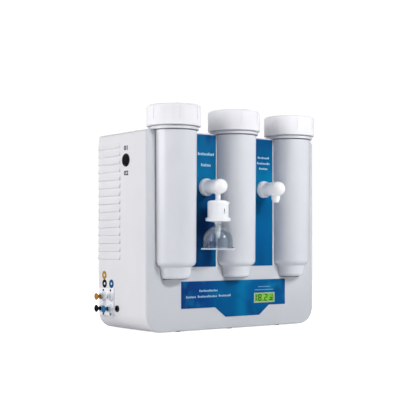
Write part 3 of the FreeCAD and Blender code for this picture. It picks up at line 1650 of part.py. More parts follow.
def run_of(label, points, radius):
    """A bar of round section through corner points, each bend a quarter ring."""
    pieces = []
    vectors = [FreeCAD.Vector(*(value.value for value in point)) for point in points]
    last = len(points) - 2
    for index in range(last + 1):
        way = (vectors[index + 1] - vectors[index]).normalize()
        axis = max(range(3), key=lambda number: abs(way[number]))
        ahead = 1 if way[axis] > 0 else -1
        start, end = points[index][axis], points[index + 1][axis]
        length = (end - start) * ahead
        trim_start = S.hose_bend if index > 0 else ZERO
        trim_end = S.hose_bend if index < last else ZERO
        at = list(points[index])
        at[axis] = start + trim_start if ahead > 0 else end + trim_end
        turn_to = (ALONG_X, ALONG_Y, UPRIGHT)[axis]
        pieces.append(rod(f"{label}_{index}", *at, radius, length - trim_start - trim_end, turn_to))
        if index < last:
            goes = (vectors[index + 2] - vectors[index + 1]).normalize()
            bend = doc.addObject("Part::Torus", f"{label}_bend_{index}")
            turned = FreeCAD.Rotation(goes.negative(), way, way.cross(goes), "XYZ")
            bend.Placement = FreeCAD.Placement(FreeCAD.Vector(), turned)
            bend.Angle3 = FULL_TURN / 4
            bend.setExpression("Radius1", S.hose_bend.text)
            bend.setExpression("Radius2", radius.text)
            corner = [
                value + S.hose_bend * round(goes[number] - way[number])
                for number, value in enumerate(points[index + 1])
            ]
            pieces.append(place(bend, *corner))
    return fuse(label, pieces)


def hose(label, route):
    """A hose along a route given from the front plane and the housing's underside."""
    return run_of(label, [(x, front_y + y, base_z + z) for x, y, z in route], S.hose_radius)


def build_hoses():
    port_end = canister_y + S.seat_gap + S.port_body_length - S.port_seat_depth
    upper_y, lower_y = bay_back + port_end, cup_back + port_end
    pitch, riser = S.canister_pitch, S.riser_y
    high, low = upper_port_height, lower_port_height
    port_y, port_z = port_places()[1]
    port_x = -half_width - S.plate_wall + S.union_shank_length - S.port_seat_depth
    valve_y = S.inlet_valve_front + S.inlet_valve_width / 2
    valve_z = tray_top + S.seat_gap + S.inlet_valve_height / 2
    valve_right = inlet_valve_left + S.inlet_valve_length + socket_reach
    drain_x = S.drain_inset - half_width
    feed_x = valve_right + S.feed_gap
    hoses = [
        hose("hose_feed", [
            (port_x, port_y, port_z), (drain_x, port_y, port_z), (drain_x, port_y, valve_z),
            (drain_x, valve_y, valve_z), (inlet_valve_left - socket_reach, valve_y, valve_z),
        ]),
        hose("hose_raw", [
            (valve_right, valve_y, valve_z), (feed_x, valve_y, valve_z), (feed_x, valve_y, low),
            (-pitch, valve_y, low), (-pitch, lower_y, low),
        ]),
    ]
    for name, step in (("first", -1), ("second", 0)):
        x = pitch * step
        hoses.append(hose(f"hose_{name}", [
            (x, upper_y, high), (x, riser, high), (x + S.riser_inset, riser, high),
            (x + S.riser_inset, riser, low), (x + pitch, riser, low), (x + pitch, lower_y, low),
        ]))
    (inlet_x, inlet_y), (outlet_x, outlet_y) = pump_sockets()
    head_top = S.pump_height + S.head_half + socket_reach
    valve_back = outlet_valve_y()[1] + socket_reach
    upper, lower = S.spout_height + S.outlet_port_rise, S.spout_height - S.outlet_port_rise
    hoses.append(hose("hose_pump_in", [
        (pitch, upper_y, high), (pitch, inlet_y, high), (inlet_x, inlet_y, head_top),
    ]))
    hoses.append(hose("hose_pump_out", [
        (outlet_x, outlet_y, head_top), (outlet_x, outlet_y, upper), (spout_spread, outlet_y, upper),
        (spout_spread, valve_back, upper),
    ]))
    hoses.append(hose("hose_link", [
        (spout_spread, valve_back, lower), (spout_spread, S.link_y, lower),
        (-spout_spread, S.link_y, lower), (-spout_spread, valve_back, lower),
    ]))
    group("hoses", hoses)


def write_parts():
    """Stops on a failed object, then writes each piece to its file."""
    doc.recompute()
    for item in doc.Objects:
        if "Invalid" in item.State or "Error" in item.State:
            raise ValueError(f"{item.Label}: {item.State}")
    for item in NODES:
        if item.Shape.isNull() or not item.Shape.isValid():
            raise ValueError(f"{item.Label} has no sound shape")
    os.makedirs("parts", exist_ok=True)
    for item in NODES:
        item.Shape.exportStep(f"parts/{item.Label}.step")
        print(f"{item.Label}: {len(item.Shape.Solids)} solids, {len(item.Shape.Faces)} faces")


build_fascia()
build_shell()
build_rear_cover()
build_feet()
for bay_name, bay_step in BAYS.items():
    build_canister(bay_name, bay_step)
build_canister_ports()
build_films()
build_display()
build_spout("left", -1)
build_spout("right", 1)
build_capsule()
build_service_plate()
build_ports()
build_plugs()
build_switch()
build_inlet()
build_tray()
build_pump()
build_supply()
build_inlet_valve()
build_outlet_valves()
build_board_parts()
build_hoses()
group("cartridges", CARTRIDGES)
group("spout_rosettes", ROSETTES)
group("panel_nuts", NUTS)
write_parts()
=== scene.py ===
"""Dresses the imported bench-top water purifier: finishes, printed marks, display digits and small details."""

import logging
import math
from collections.abc import Callable, Sequence
from dataclasses import dataclass, field
from enum import Enum
from typing import ClassVar

import bmesh
import bpy
from bmesh.types import BMesh, BMVert
from bpy.types import Material, Node, NodeSocket, NodeTree, Object
from mathutils import Matrix, Vector


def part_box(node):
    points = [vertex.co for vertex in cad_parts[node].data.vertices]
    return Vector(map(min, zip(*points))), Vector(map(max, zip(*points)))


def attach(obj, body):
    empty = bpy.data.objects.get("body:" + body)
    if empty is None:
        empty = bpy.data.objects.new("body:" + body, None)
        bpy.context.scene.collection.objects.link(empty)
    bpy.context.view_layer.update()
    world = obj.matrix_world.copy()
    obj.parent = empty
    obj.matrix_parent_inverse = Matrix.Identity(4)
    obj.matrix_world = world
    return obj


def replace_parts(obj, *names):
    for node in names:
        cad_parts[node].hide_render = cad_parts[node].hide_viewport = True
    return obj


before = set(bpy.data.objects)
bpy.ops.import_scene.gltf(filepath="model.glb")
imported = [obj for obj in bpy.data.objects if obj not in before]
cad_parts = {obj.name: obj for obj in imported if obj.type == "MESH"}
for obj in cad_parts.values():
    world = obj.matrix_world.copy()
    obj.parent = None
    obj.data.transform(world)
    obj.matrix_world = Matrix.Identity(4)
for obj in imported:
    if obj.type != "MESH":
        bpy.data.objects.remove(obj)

LOG = logging.getLogger("water_purifier")
MM = 0.001
TURN = 2 * math.pi
Colour = tuple[int, int, int]
Point = tuple[float, float]
Triple = tuple[float, float, float]
Stops = tuple[tuple[float, Colour], ...]

SCREEN_TOP = 255
KNEE, SLOPE, OFFSET, POWER = 0.04045, 12.92, 0.055, 2.4


def rgba(colour: Colour) -> tuple[float, float, float, float]:
    """The linear colour that shaders read, with full cover, from screen values of 0 to 255."""
    shares = (value / SCREEN_TOP for value in colour)
    return (*(s / SLOPE if s <= KNEE else ((s + OFFSET) / (1 + OFFSET)) ** POWER for s in shares), 1.0)


class Tree:
    """A small hand for building node trees."""

    mix_inputs = (0, 6, 7)
    mix_result = 2

    def __init__(self, tree: NodeTree) -> None:
        """Keeps the tree that the methods add to."""
        self.tree = tree

    def feed(self, socket: NodeSocket, value: object) -> None:
        """Links or sets an input.

        Args:
            socket: The input.
            value: A socket to link from, a screen colour for a colour input, or a number or vector.
        """
        if isinstance(value, NodeSocket):
            self.tree.links.new(value, socket)
        else:
            socket.default_value = rgba(value) if socket.type == "RGBA" else value

    def fill(self, node: Node, **values: object) -> Node:
        """Sets a node up.

        Args:
            node: The node.
            values: Its properties by name, and its inputs by name with spaces as underscores.

        Returns:
            The same node.
        """
        for name, value in values.items():
            if hasattr(node, name):
                setattr(node, name, value)
            else:
                self.feed(node.inputs[name.replace("_", " ")], value)
        return node

    def node(self, kind: str, **values: object) -> Node:
        """Adds a node of the type that ShaderNode and the kind name, set up as fill does it."""
        return self.fill(self.tree.nodes.new(f"ShaderNode{kind}"), **values)

    def value(self, kind: str, **values: object) -> NodeSocket:
        """Adds a node and gives its first output."""
        return self.node(kind, **values).outputs[0]

    def finish(self, **values: object) -> None:
        """Sets the material's Principled node up, as fill does it."""
        self.fill(self.tree.nodes["Principled BSDF"], **values)

    def where(self) -> NodeSocket:
        """The place on the surface, in the part's frame."""
        return self.node("TexCoord").outputs["Object"]

    def axes(self) -> bpy.types.NodeOutputs:
        """The place on the surface, split into X, Y and Z."""
        return self.node("SeparateXYZ", Vector=self.where()).outputs

    def noise(self, place: NodeSocket | None = None, **values: object) -> NodeSocket:
        """Noise over the surface, or over another place that is given."""
        return self.value("TexNoise", Vector=self.where() if place is None else place, **values)

    def maths(self, operation: str, first: object, second: object = 0.0) -> NodeSocket:
        """A Math node's result.

        Args:
            operation: The operation's name.
            first: A socket or a number.
            second: A socket or a number.

        Returns:
            The result's socket.
        """
        node = self.node("Math", operation=operation)
        for socket, value in zip(node.inputs, (first, second)):
            self.feed(socket, value)
        return node.outputs[0]

    def blend(self, mask: NodeSocket, first: object, second: object) -> NodeSocket:
        """Mixes two colours by a mask.

        Args:
            mask: 0 gives the first colour and 1 the second.
            first: A socket or a colour.
            second: A socket or a colour.

        Returns:
            The mixed colour's socket.
        """
        node = self.node("Mix", data_type="RGBA")
        for place, value in zip(self.mix_inputs, (mask, first, second)):
            self.feed(node.inputs[place], value)
        return node.outputs[self.mix_result]

    def spread(
        self, value: NodeSocket, low: float, high: float, to_low: object = 0.0, to_high: object = 1.0,
        smooth: bool = True,
    ) -> NodeSocket:
        """Maps a range onto another.

        Args:
            value: The socket to map.
            low: Value that gives to_low.
            high: Value that gives to_high.
            to_low: Result at the low end, a number or a socket.
            to_high: Result at the high end, a number or a socket.
            smooth: Whether the ends are eased.

        Returns:
            The mapped value's socket.
        """
        node = self.node("MapRange", interpolation_type="SMOOTHSTEP" if smooth else "LINEAR")
        for socket, number in zip(node.inputs, (value, low, high, to_low, to_high)):
            self.feed(socket, number)
        return node.outputs[0]


class Effect(Enum):
    """Surface effects that several finishes share, each one a node group."""

    MOTTLE = "surface_mottle"
    GRAIN = "surface_grain"
    DUST = "settled_dust"
    CREASE = "crease_shade"


class EffectShelf:
    """Builds each shared effect once and places it in materials."""

    fine_times = 9.0

    def __init__(self) -> None:
        """Starts with no group built."""
        self.groups: dict[Effect, NodeTree] = {}

    def place(self, tree: Tree, effect: Effect, **values: object) -> bpy.types.NodeOutputs:
        """Places an effect in a material.

        Args:
            tree: The material's tree.
            effect: Which effect.
            values: Its inputs by name, with spaces as underscores.

        Returns:
            The group's outputs.
        """
        if effect not in self.groups:
            getattr(self, effect.name.lower())()
        return tree.node("Group", node_tree=self.groups[effect], **values).outputs

    def group(
        self, effect: Effect, inputs: dict[str, str], outputs: dict[str, str]
    ) -> tuple[Tree, bpy.types.NodeOutputs, Node]:
        """Starts an effect's group and names its sockets.

        Args:
            effect: Which effect.
            inputs: Socket type by name.
            outputs: Socket type by name.

        Returns:
            The tree's hand, what the group is given, and the node that takes its results.
        """
        group = self.groups[effect] = bpy.data.node_groups.new(effect.value, "ShaderNodeTree")
        for in_out, named in (("INPUT", inputs), ("OUTPUT", outputs)):
            for name, kind in named.items():
                group.interface.new_socket(name=name, in_out=in_out, socket_type=f"NodeSocket{kind}")
        return Tree(group), group.nodes.new("NodeGroupInput").outputs, group.nodes.new("NodeGroupOutput")

    def mottle(self) -> None:
        """Slow drift of colour and gloss, as moulded plastic and paint have."""
        tree, given, out = self.group(
            Effect.MOTTLE,
            {"First Colour": "Color", "Second Colour": "Color", "Scale": "Float", "Low Roughness": "Float",
             "High Roughness": "Float"},
            {"Color": "Color", "Roughness": "Float"},
        )
        broad = tree.noise(Scale=given["Scale"], Detail=3.0, Roughness=0.55)
        close = tree.maths("MULTIPLY", given["Scale"], self.fine_times)
        fine = tree.noise(Scale=close, Detail=5.0, Roughness=0.7)
        mask = tree.spread(broad, 0.3, 0.7)
        tree.fill(
            out, Color=tree.blend(mask, given["First Colour"], given["Second Colour"]),
            Roughness=tree.spread(fine, 0.0, 1.0, given["Low Roughness"], given["High Roughness"], False),
        )

    def grain(self) -> None:
        """Fine height of a moulded or sprayed surface."""
        tree, given, out = self.group(Effect.GRAIN, {"Scale": "Float", "Depth": "Float"}, {"Height": "Float"})
        noise = tree.noise(Scale=given["Scale"], Detail=2.0, Roughness=0.5)
        tree.fill(out, Height=tree.maths("MULTIPLY", noise, given["Depth"]))

    def dust(self) -> None:
        """A mask of dust on faces that look up."""
        tree, given, out = self.group(Effect.DUST, {"Amount": "Float"}, {"Mask": "Float"})
        facing = tree.node("SeparateXYZ", Vector=tree.node("NewGeometry").outputs["Normal"])
        up = tree.spread(facing.outputs["Z"], 0.6, 1.0)
        speckle = tree.spread(tree.noise(Scale=60.0, Detail=6.0, Roughness=0.7), 0.42, 0.7)
        tree.fill(out, Mask=tree.maths("MULTIPLY", tree.maths("MULTIPLY", up, speckle), given["Amount"]))

    def crease(self) -> None:
        """A mask of painted shade: the dark line at one height where a crease lies in shadow."""
        tree, given, out = self.group(
            Effect.CREASE, {"Height": "Float", "Reach": "Float"}, {"Mask": "Float"}
        )
        off = tree.maths("ABSOLUTE", tree.maths("SUBTRACT", tree.axes()["Z"], given["Height"]))
        line = tree.spread(tree.maths("DIVIDE", off, given["Reach"]), 0.45, 1.0, 1.0, 0.0)
        depth = tree.spread(tree.noise(Scale=40.0, Detail=3.0), 0.2, 0.7, 0.8, 1.0)
        tree.fill(out, Mask=tree.maths("MULTIPLY", line, depth))


SHELF = EffectShelf()
DUST_GREY = (176, 174, 168)
# Painted shade: the grey of the shadowed line under a canister's collar.
PAINTED_SHADE_GREY = (84, 88, 98)


class Finish:
    """A finish makes its material once."""

    name: str
    made: ClassVar[dict[str, Material]] = {}

    def material(self) -> Material:
        """The finish's material, built on first use.

        Returns:
            The material.
        """
        if self.name not in self.made:
            fresh = bpy.data.materials.new(self.name)
            fresh.use_nodes = True
            self.build(Tree(fresh.node_tree))
            self.made[self.name] = fresh
        return self.made[self.name]

    def build(self, tree: Tree) -> None:
        """Builds the nodes; each finish has its own."""
        raise NotImplementedError


@dataclass(frozen=True)
class Moulding(Finish):
    """Moulded or sprayed surface with a slight drift in colour and gloss, fine grain and a little dust."""

    name: str
    first: Colour
    second: Colour
    low: float = 0.22
    high: float = 0.32
    scale: float = 9.0
    grain_scale: float = 900.0
    grain_depth: float = 0.02
    dust: float = 0.12
    coat: float = 0.0
    specular: float = 0.5
    crease: Point | None = None
    coat_roughness: ClassVar[float] = 0.08
    dust_roughness: ClassVar[float] = 0.9
    grain_strength: ClassVar[float] = 0.5

    def build(self, tree: Tree) -> None:
        """Builds the nodes.

        Args:
            tree: The material's tree.
        """
        drift = SHELF.place(
            tree, Effect.MOTTLE, First_Colour=self.first, Second_Colour=self.second, Scale=self.scale,
            Low_Roughness=self.low, High_Roughness=self.high,
        )
        dust = SHELF.place(tree, Effect.DUST, Amount=self.dust)[0]
        colour = tree.blend(dust, drift["Color"], DUST_GREY)
        # Where given, painted shade darkens a thin line at one height.
        if self.crease:
            line = SHELF.place(tree, Effect.CREASE, Height=self.crease[0], Reach=self.crease[1])[0]
            colour = tree.blend(line, colour, PAINTED_SHADE_GREY)
        dusty = tree.maths("MULTIPLY", dust, self.dust_roughness)
        grain = SHELF.place(tree, Effect.GRAIN, Scale=self.grain_scale, Depth=self.grain_depth)[0]
        tree.finish(
            Base_Color=colour, Roughness=tree.maths("MAXIMUM", drift["Roughness"], dusty),
            Normal=tree.value("Bump", Strength=self.grain_strength, Distance=MM, Height=grain),
            Coat_Weight=self.coat, Coat_Roughness=self.coat_roughness, Specular_IOR_Level=self.specular,
        )


@dataclass(frozen=True)
class BrushedMetal(Finish):
    """Metal with fine lines along one axis."""

    name: str
    first: Colour
    second: Colour
    stretch: Triple = (4.0, 400.0, 400.0)
    low: float = 0.28
    high: float = 0.46
    line_strength: ClassVar[float] = 0.2

    def build(self, tree: Tree) -> None:
        """Builds the nodes.

        Args:
            tree: The material's tree.
        """
        place = tree.value("Mapping", Vector=tree.where(), Scale=self.stretch)
        lines = tree.noise(place, Scale=6.0, Detail=4.0, Roughness=0.6)
        tree.finish(
            Base_Color=tree.blend(tree.spread(lines, 0.3, 0.7), self.first, self.second),
            Roughness=tree.spread(lines, 0.2, 0.8, self.low, self.high), Metallic=1.0,
            Normal=tree.value("Bump", Strength=self.line_strength, Distance=0.2 * MM, Height=lines),
        )


@dataclass(frozen=True)
class ClearPlastic(Finish):
    """Clear moulded plastic, faintly cloudy, that shows more of itself where it is seen edge on."""

    name: str
    tint: Colour
    cloud: Colour
    low: float
    high: float
    face_cover: float
    edge_cover: float
    transmission: float = 1.0
    ior: ClassVar[float] = 1.49
    cloud_scale: ClassVar[float] = 30.0

    def build(self, tree: Tree) -> None:
        """Builds the nodes.

        Args:
            tree: The material's tree.
        """
        drift = SHELF.place(
            tree, Effect.MOTTLE, First_Colour=self.tint, Second_Colour=self.cloud, Scale=self.cloud_scale,
            Low_Roughness=self.low, High_Roughness=self.high,
        )
        edge = tree.node("LayerWeight", Blend=0.4).outputs["Facing"]
        tree.finish(
            Base_Color=drift["Color"], Roughness=drift["Roughness"],
            Alpha=tree.spread(edge, 0.15, 0.95, self.face_cover, self.edge_cover),
            Transmission_Weight=self.transmission, IOR=self.ior,
        )


@dataclass(frozen=True)
class InkedFilm(Finish):
    """Printed film: a run of blues along one axis, with turquoise cloud and navy shade over it.

    Where far_stops is given, what lies right of the unit's middle has that run instead, so painted shadow can
    darken one side only.
    """

    name: str
    axis: str
    low: float
    high: float
    stops: Stops
    cloud: Colour
    cloud_share: float
    shade: Colour
    shade_share: float
    seed: float
    cloud_scale: float
    stretch: Triple
    far_stops: Stops = ()
    shade_times: ClassVar[float] = 0.7
    specular: ClassVar[float] = 0.06

    @staticmethod
    def run(tree: Tree, share: NodeSocket, stops: Stops) -> NodeSocket:
        """A colour ramp along the film.

        Args:
            tree: The material's tree.
            share: How far along the film, 0 to 1.
            stops: The ramp's places and colours.

        Returns:
            The colour's socket.
        """
        ramp = tree.node("ValToRGB", Fac=share)
        ramp.color_ramp.interpolation = "EASE"
        band = ramp.color_ramp.elements
        while len(band) < len(stops):
            band.new(0.5)
        for element, (place, colour) in zip(band, stops):
            element.position = place
            element.color = rgba(colour)
        return ramp.outputs[0]

    def build(self, tree: Tree) -> None:
        """Builds the nodes.

        Args:
            tree: The material's tree.
        """
        axes = tree.axes()
        share = tree.spread(axes[self.axis], self.low, self.high, smooth=False)
        ground = self.run(tree, share, self.stops)
        if self.far_stops:
            right = tree.maths("GREATER_THAN", axes["X"], 0.0)
            ground = tree.blend(right, ground, self.run(tree, share, self.far_stops))
        place = tree.value("Mapping", Vector=tree.where(), Location=(self.seed,) * 3, Scale=self.stretch)
        cloud = tree.noise(place, Scale=self.cloud_scale, Detail=2.5, Roughness=0.5)
        shade = tree.noise(place, Scale=self.cloud_scale * self.shade_times, Detail=1.5, Roughness=0.4)
        lit = tree.spread(cloud, 0.48, 0.75, 0.0, self.cloud_share)
        dark = tree.spread(shade, 0.5, 0.75, 0.0, self.shade_share)
        gloss = tree.noise(Scale=300.0, Detail=3.0)
        tree.finish(
            Base_Color=tree.blend(dark, tree.blend(lit, ground, self.cloud), self.shade),
            Roughness=tree.spread(gloss, 0.2, 0.8, 0.36, 0.46), Specular_IOR_Level=self.specular,
        )


@dataclass(frozen=True)
class Backlit(Finish):
    """A lit display panel, a little brighter at its middle."""

    name: str
    edge: Colour
    middle: Colour
    centre: Point
    reach: float
    strength: float
    squash: ClassVar[float] = 2.2

    def build(self, tree: Tree) -> None:
        """Builds the nodes.

        Args:
            tree: The material's tree.
        """
        axes = tree.axes()
        across = tree.maths("SUBTRACT", axes["X"], self.centre[0])
        along = tree.maths("MULTIPLY", tree.maths("SUBTRACT", axes["Z"], self.centre[1]), self.squash)
        squares = [tree.maths("MULTIPLY", side, side) for side in (across, along)]
        far = tree.maths("SQRT", tree.maths("ADD", *squares))
        glow = tree.blend(tree.spread(far, 0.0, self.reach), self.middle, self.edge)
        tree.finish(Base_Color=glow, Emission_Color=glow, Emission_Strength=self.strength, Roughness=0.2)


EVEN = (300.0, 300.0, 300.0)
SHELL_WHITE = Moulding(
    "shell_paint", (218, 218, 222), (214, 214, 219), 0.44, 0.54, 7.0, 1400.0, 0.05, specular=0.12
)
FASCIA_WHITE = Moulding("fascia_plastic", (207, 210, 215), (202, 205, 211), 0.28, 0.36, 7.0)
COVER_WHITE = Moulding("cover_paint", (220, 220, 225), (216, 216, 222), 0.36, 0.46, 7.0, 1400.0, 0.05)
# The bowl carries a painted shade line at the collar's underside, where the collar's shadow falls.
BOWL_WHITE = Moulding(
    "canister_plastic", (222, 224, 230), (218, 220, 227), 0.2, 0.28, 11.0, crease=(0.4018, 0.0013)
)
CAP_WHITE = Moulding("cap_plastic", (240, 240, 244), (236, 236, 241), 0.34, 0.44, 11.0, specular=0.14)
LID_WHITE = Moulding("lid_plastic", (228, 229, 232), (222, 224, 228), 0.3, 0.4)
SPOUT_WHITE = Moulding("spout_plastic", (255, 255, 255), (252, 252, 254), 0.2, 0.28, 25.0, coat=0.2)
CAPSULE_WHITE = Moulding(
    "capsule_plastic", (250, 252, 255), (246, 249, 253), 0.2, 0.28, 40.0, dust=0.0, coat=0.3
)
PLATE_WHITE = Moulding("plate_plastic", (240, 240, 246), (235, 236, 243), 0.24, 0.32, 30.0)
SEAL_BLACK = Moulding("seal_rubber", (28, 28, 30), (22, 22, 24), 0.4, 0.5, 40.0, dust=0.0)
FOOT_BLACK = Moulding("foot_rubber", (34, 34, 36), (26, 26, 28), 0.6, 0.75, 60.0, 2000.0, 0.08)
PORT_GREY = Moulding("port_plastic", (244, 247, 252), (230, 236, 244), 0.16, 0.24, 60.0, coat=0.3)
COLLET_WHITE = Moulding("collet_plastic", (214, 220, 224), (204, 211, 216), 0.2, 0.28, 80.0)
NUT_WHITE = Moulding("nut_plastic", (222, 222, 222), (214, 214, 214), 0.4, 0.5, 80.0)
PLUG_ORANGE = Moulding("orange_plastic", (178, 122, 3), (164, 106, 2), 0.24, 0.32, 90.0, dust=0.0)
PLUG_BLACK = Moulding("black_plastic", (3, 3, 4), (2, 2, 3), 0.3, 0.4, 90.0, dust=0.0, specular=0.08)
PLUG_BLUE = Moulding("blue_plastic", (0, 100, 146), (0, 84, 132), 0.24, 0.32, 90.0, dust=0.0)
SWITCH_BLACK = Moulding(
    "switch_plastic", (8, 8, 9), (4, 4, 5), 0.36, 0.46, 90.0, 2500.0, 0.05, dust=0.02, specular=0.2
)
INLET_BLACK = Moulding("inlet_plastic", (10, 10, 11), (6, 6, 7), 0.36, 0.46, 90.0, dust=0.02, specular=0.2)
BOARD_GREEN = Moulding("solder_mask", (24, 92, 52), (18, 78, 44), 0.25, 0.35, 60.0)
BOARD_BLACK = Moulding("component_black", (34, 34, 36), (26, 26, 28), 0.45, 0.6, 120.0)
VALVE_WHITE = Moulding("valve_plastic", (214, 214, 210), (206, 206, 202), 0.4, 0.5, 50.0)
CELL_GREY = Moulding("cell_plastic", (92, 94, 100), (82, 84, 90), 0.35, 0.45, 90.0)
PUMP_BLACK = Moulding("pump_plastic", (44, 44, 48), (36, 36, 40), 0.5, 0.62, 40.0, 1200.0, 0.08)
MOTOR_PAINT = Moulding("motor_paint", (52, 53, 57), (44, 45, 49), 0.3, 0.4, 30.0, coat=0.2)
CARTRIDGE_WHITE = Moulding(
    "cartridge_fibre", (226, 230, 234), (216, 221, 227), 0.6, 0.8, 50.0, 500.0, 0.4
)
HOSE_WHITE = Moulding("hose_plastic", (226, 232, 235), (218, 225, 229), 0.2, 0.28, 30.0)
FILTER_WHITE = Moulding("filter_fibre", (232, 232, 228), (224, 224, 220), 0.6, 0.8, 90.0, 900.0, 0.4)
MARK_BLACK = Moulding("black_ink", (4, 4, 5), (2, 2, 3), 0.5, 0.6, 200.0, dust=0.0, specular=0.15)
MARK_WHITE = Moulding("white_ink", (158, 194, 216), (148, 186, 210), 0.4, 0.5, 200.0, dust=0.0)
MARK_FAINT = Moulding("faint_ink", (104, 156, 194), (94, 148, 188), 0.4, 0.5, 200.0, dust=0.0)
MARK_YELLOW = Moulding("yellow_ink", (168, 134, 14), (156, 120, 8), 0.5, 0.6, 200.0, dust=0.0, specular=0.2)
MARK_BLUE = Moulding("blue_ink", (0, 76, 122), (0, 68, 112), 0.5, 0.6, 200.0, dust=0.0, specular=0.15)
RIM_PALE = Moulding("display_rim_plastic", (178, 196, 160), (168, 187, 150), 0.3, 0.4, 90.0)
SEGMENT_DARK = Moulding(
    "display_segment", (14, 40, 8), (10, 32, 6), 0.4, 0.5, 200.0, dust=0.0, specular=0.1
)
SCREW_STEEL = BrushedMetal("screw_plating", (150, 151, 154), (128, 129, 133), EVEN)
DARK_STEEL = BrushedMetal("dark_screw_plating", (34, 34, 36), (22, 22, 25), EVEN)
TRAY_STEEL = BrushedMetal("zinc_plating", (190, 193, 196), (170, 174, 178))
SUPPLY_ALUMINIUM = BrushedMetal("folded_aluminium", (208, 210, 212), (192, 194, 197))
STAND_BRASS = BrushedMetal("turned_brass", (206, 168, 92), (188, 150, 78), EVEN)
CLEAR = ClearPlastic("clear_styrene", (240, 249, 255), (230, 244, 253), 0.01, 0.03, 0.5, 0.92)
CLOUDY = ClearPlastic("cloudy_styrene", (253, 254, 255), (246, 250, 253), 0.2, 0.3, 1.0, 1.0, 0.05)
RIM_WHITE = ClearPlastic("frosted_rim", (246, 250, 252), (236, 243, 247), 0.3, 0.4, 0.75, 0.95, 0.25)
# Print with painted shadow: the first run, the left strip's, is darker, most of all over its lower part where
# the capsule and bell cast shade; the far run is the right strip's.
STRIP_INK_AND_SHADE = InkedFilm(
    "strip_ink_and_painted_shade", "Z", 0.1307, 0.3995,
    ((0.0, (0, 57, 114)), (0.2, (4, 53, 105)), (0.36, (7, 55, 101)), (0.52, (0, 73, 126)),
     (0.7, (0, 101, 150)), (0.85, (0, 78, 132)), (1.0, (2, 65, 123))),
    (0, 124, 169), 0.4, (2, 35, 85), 0.4, 0.0, 18.0, (1.0, 1.0, 0.5),
    ((0.0, (0, 87, 142)), (0.3, (0, 92, 148)), (0.48, (0, 85, 137)), (0.68, (0, 112, 160)),
     (0.85, (0, 92, 142)), (1.0, (0, 80, 134))),
)
LABEL_INK = InkedFilm(
    "label_ink", "X", -0.1388, 0.1388,
    ((0.0, (11, 55, 119)), (0.2, (4, 65, 130)), (0.36, (0, 85, 141)), (0.47, (0, 88, 142)),
     (0.56, (0, 110, 162)), (0.66, (0, 90, 148)), (0.84, (0, 87, 144)), (1.0, (0, 81, 141))),
    (20, 134, 176), 0.5, (2, 44, 103), 0.45, 7.0, 30.0, (1.0, 1.0, 1.0),
)


@dataclass(frozen=True)
class Face:
    """A flat side of the unit that marks are laid on."""

    origin: Vector
    right: Vector
    up: Vector
    out: Vector

    def at(self, across: float, along: float, proud: float = 0.0) -> Vector:
        """A point that far right, up and out of the face, in metres in the part's frame."""
        return self.origin + self.right * across + self.up * along + self.out * proud


@dataclass(frozen=True)
class Drum:
    """The front of an upright round surface that marks are bent onto."""

    centre: Vector
    radius: float

    def at(self, across: float, along: float, proud: float = 0.0) -> Vector:
        """A point that far round to the right, up and out of the drum, in metres in the part's frame."""
        angle, reach = across / self.radius, self.radius + proud
        return self.centre + Vector((reach * math.sin(angle), -reach * math.cos(angle), along))


FRONT = Face(Vector((0, -20.5 * MM, 2.5 * MM)), Vector((1, 0, 0)), Vector((0, 0, 1)), Vector((0, -1, 0)))
LEFT = Face(
    Vector((-222 * MM, -20 * MM, 2.5 * MM)), Vector((0, 1, 0)), Vector((0, 0, 1)), Vector((-1, 0, 0))
)
SHARP_ANGLE = math.radians(35.0)


def place_mesh(name: str, shape: BMesh, material: Material) -> Object:
    """Puts a shape in the scene.

    Args:
        name: The object's name.
        shape: Its shape, which is freed.
        material: Its material.

    Returns:
        The new object, shaded smooth.
    """
    mesh = bpy.data.meshes.new(name)
    shape.to_mesh(mesh)
    shape.free()
    mesh.shade_smooth()
    mesh.materials.append(material)
    return place_data(name, mesh)


def place_data(name: str, data: bpy.types.ID) -> Object:
    """Links an object of the data, such as a mesh or a lamp, to the scene.

    Args:
        name: The object's name.
        data: What it shows.

    Returns:
        The new object.
    """
    made = bpy.data.objects.new(name, data)
    bpy.context.scene.collection.objects.link(made)
    return made


def piece(name: str, shape: BMesh, finish: Finish, body: str) -> Object:
    """Makes an object of a shape, finishes it and sets it on its body.

    Args:
        name: The piece's name.
        shape: Its shape, which is freed.
        finish: Its finish.
        body: The body that it rides on.

    Returns:
        The new object.
    """
    bmesh.ops.recalc_face_normals(shape, faces=shape.faces)
    made = place_mesh(name, shape, finish.material())
    made.data.set_sharp_from_angle(angle=SHARP_ANGLE)
    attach(made, body)
    LOG.info("made %s", name)
    return made


def stitch(shape: BMesh, first: Sequence[BMVert], second: Sequence[BMVert]) -> None:
    """Joins two closed rings with faces.

    Args:
        shape: The shape to add to.
        first: One ring's corners, or a single one.
        second: The other ring's corners, as many, or a single one.
    """
    count = max(len(first), len(second))
    for step in range(count if count > 1 else 0):
        ahead = (step + 1) % count
        corners = (first[step % len(first)], first[ahead % len(first)],
                   second[ahead % len(second)], second[step % len(second)])
        shape.faces.new(tuple(dict.fromkeys(corners)))


def add_plate(
    shape: BMesh, face: Face | Drum, outline: Sequence[Point], low: float, high: float
) -> None:
    """Adds a plate of an outline to a shape.

    Args:
        shape: The shape to add to.
        face: The surface that the plate lies on.
        outline: Its corners, across and along the surface, in metres.
        low: Where its back is, out of the surface.
        high: Where its front is.
    """
    rings = [[shape.verts.new(face.at(x, y, proud)) for x, y in outline] for proud in (low, high)]
    for ring in rings:
        shape.faces.new(ring)
    stitch(shape, *rings)


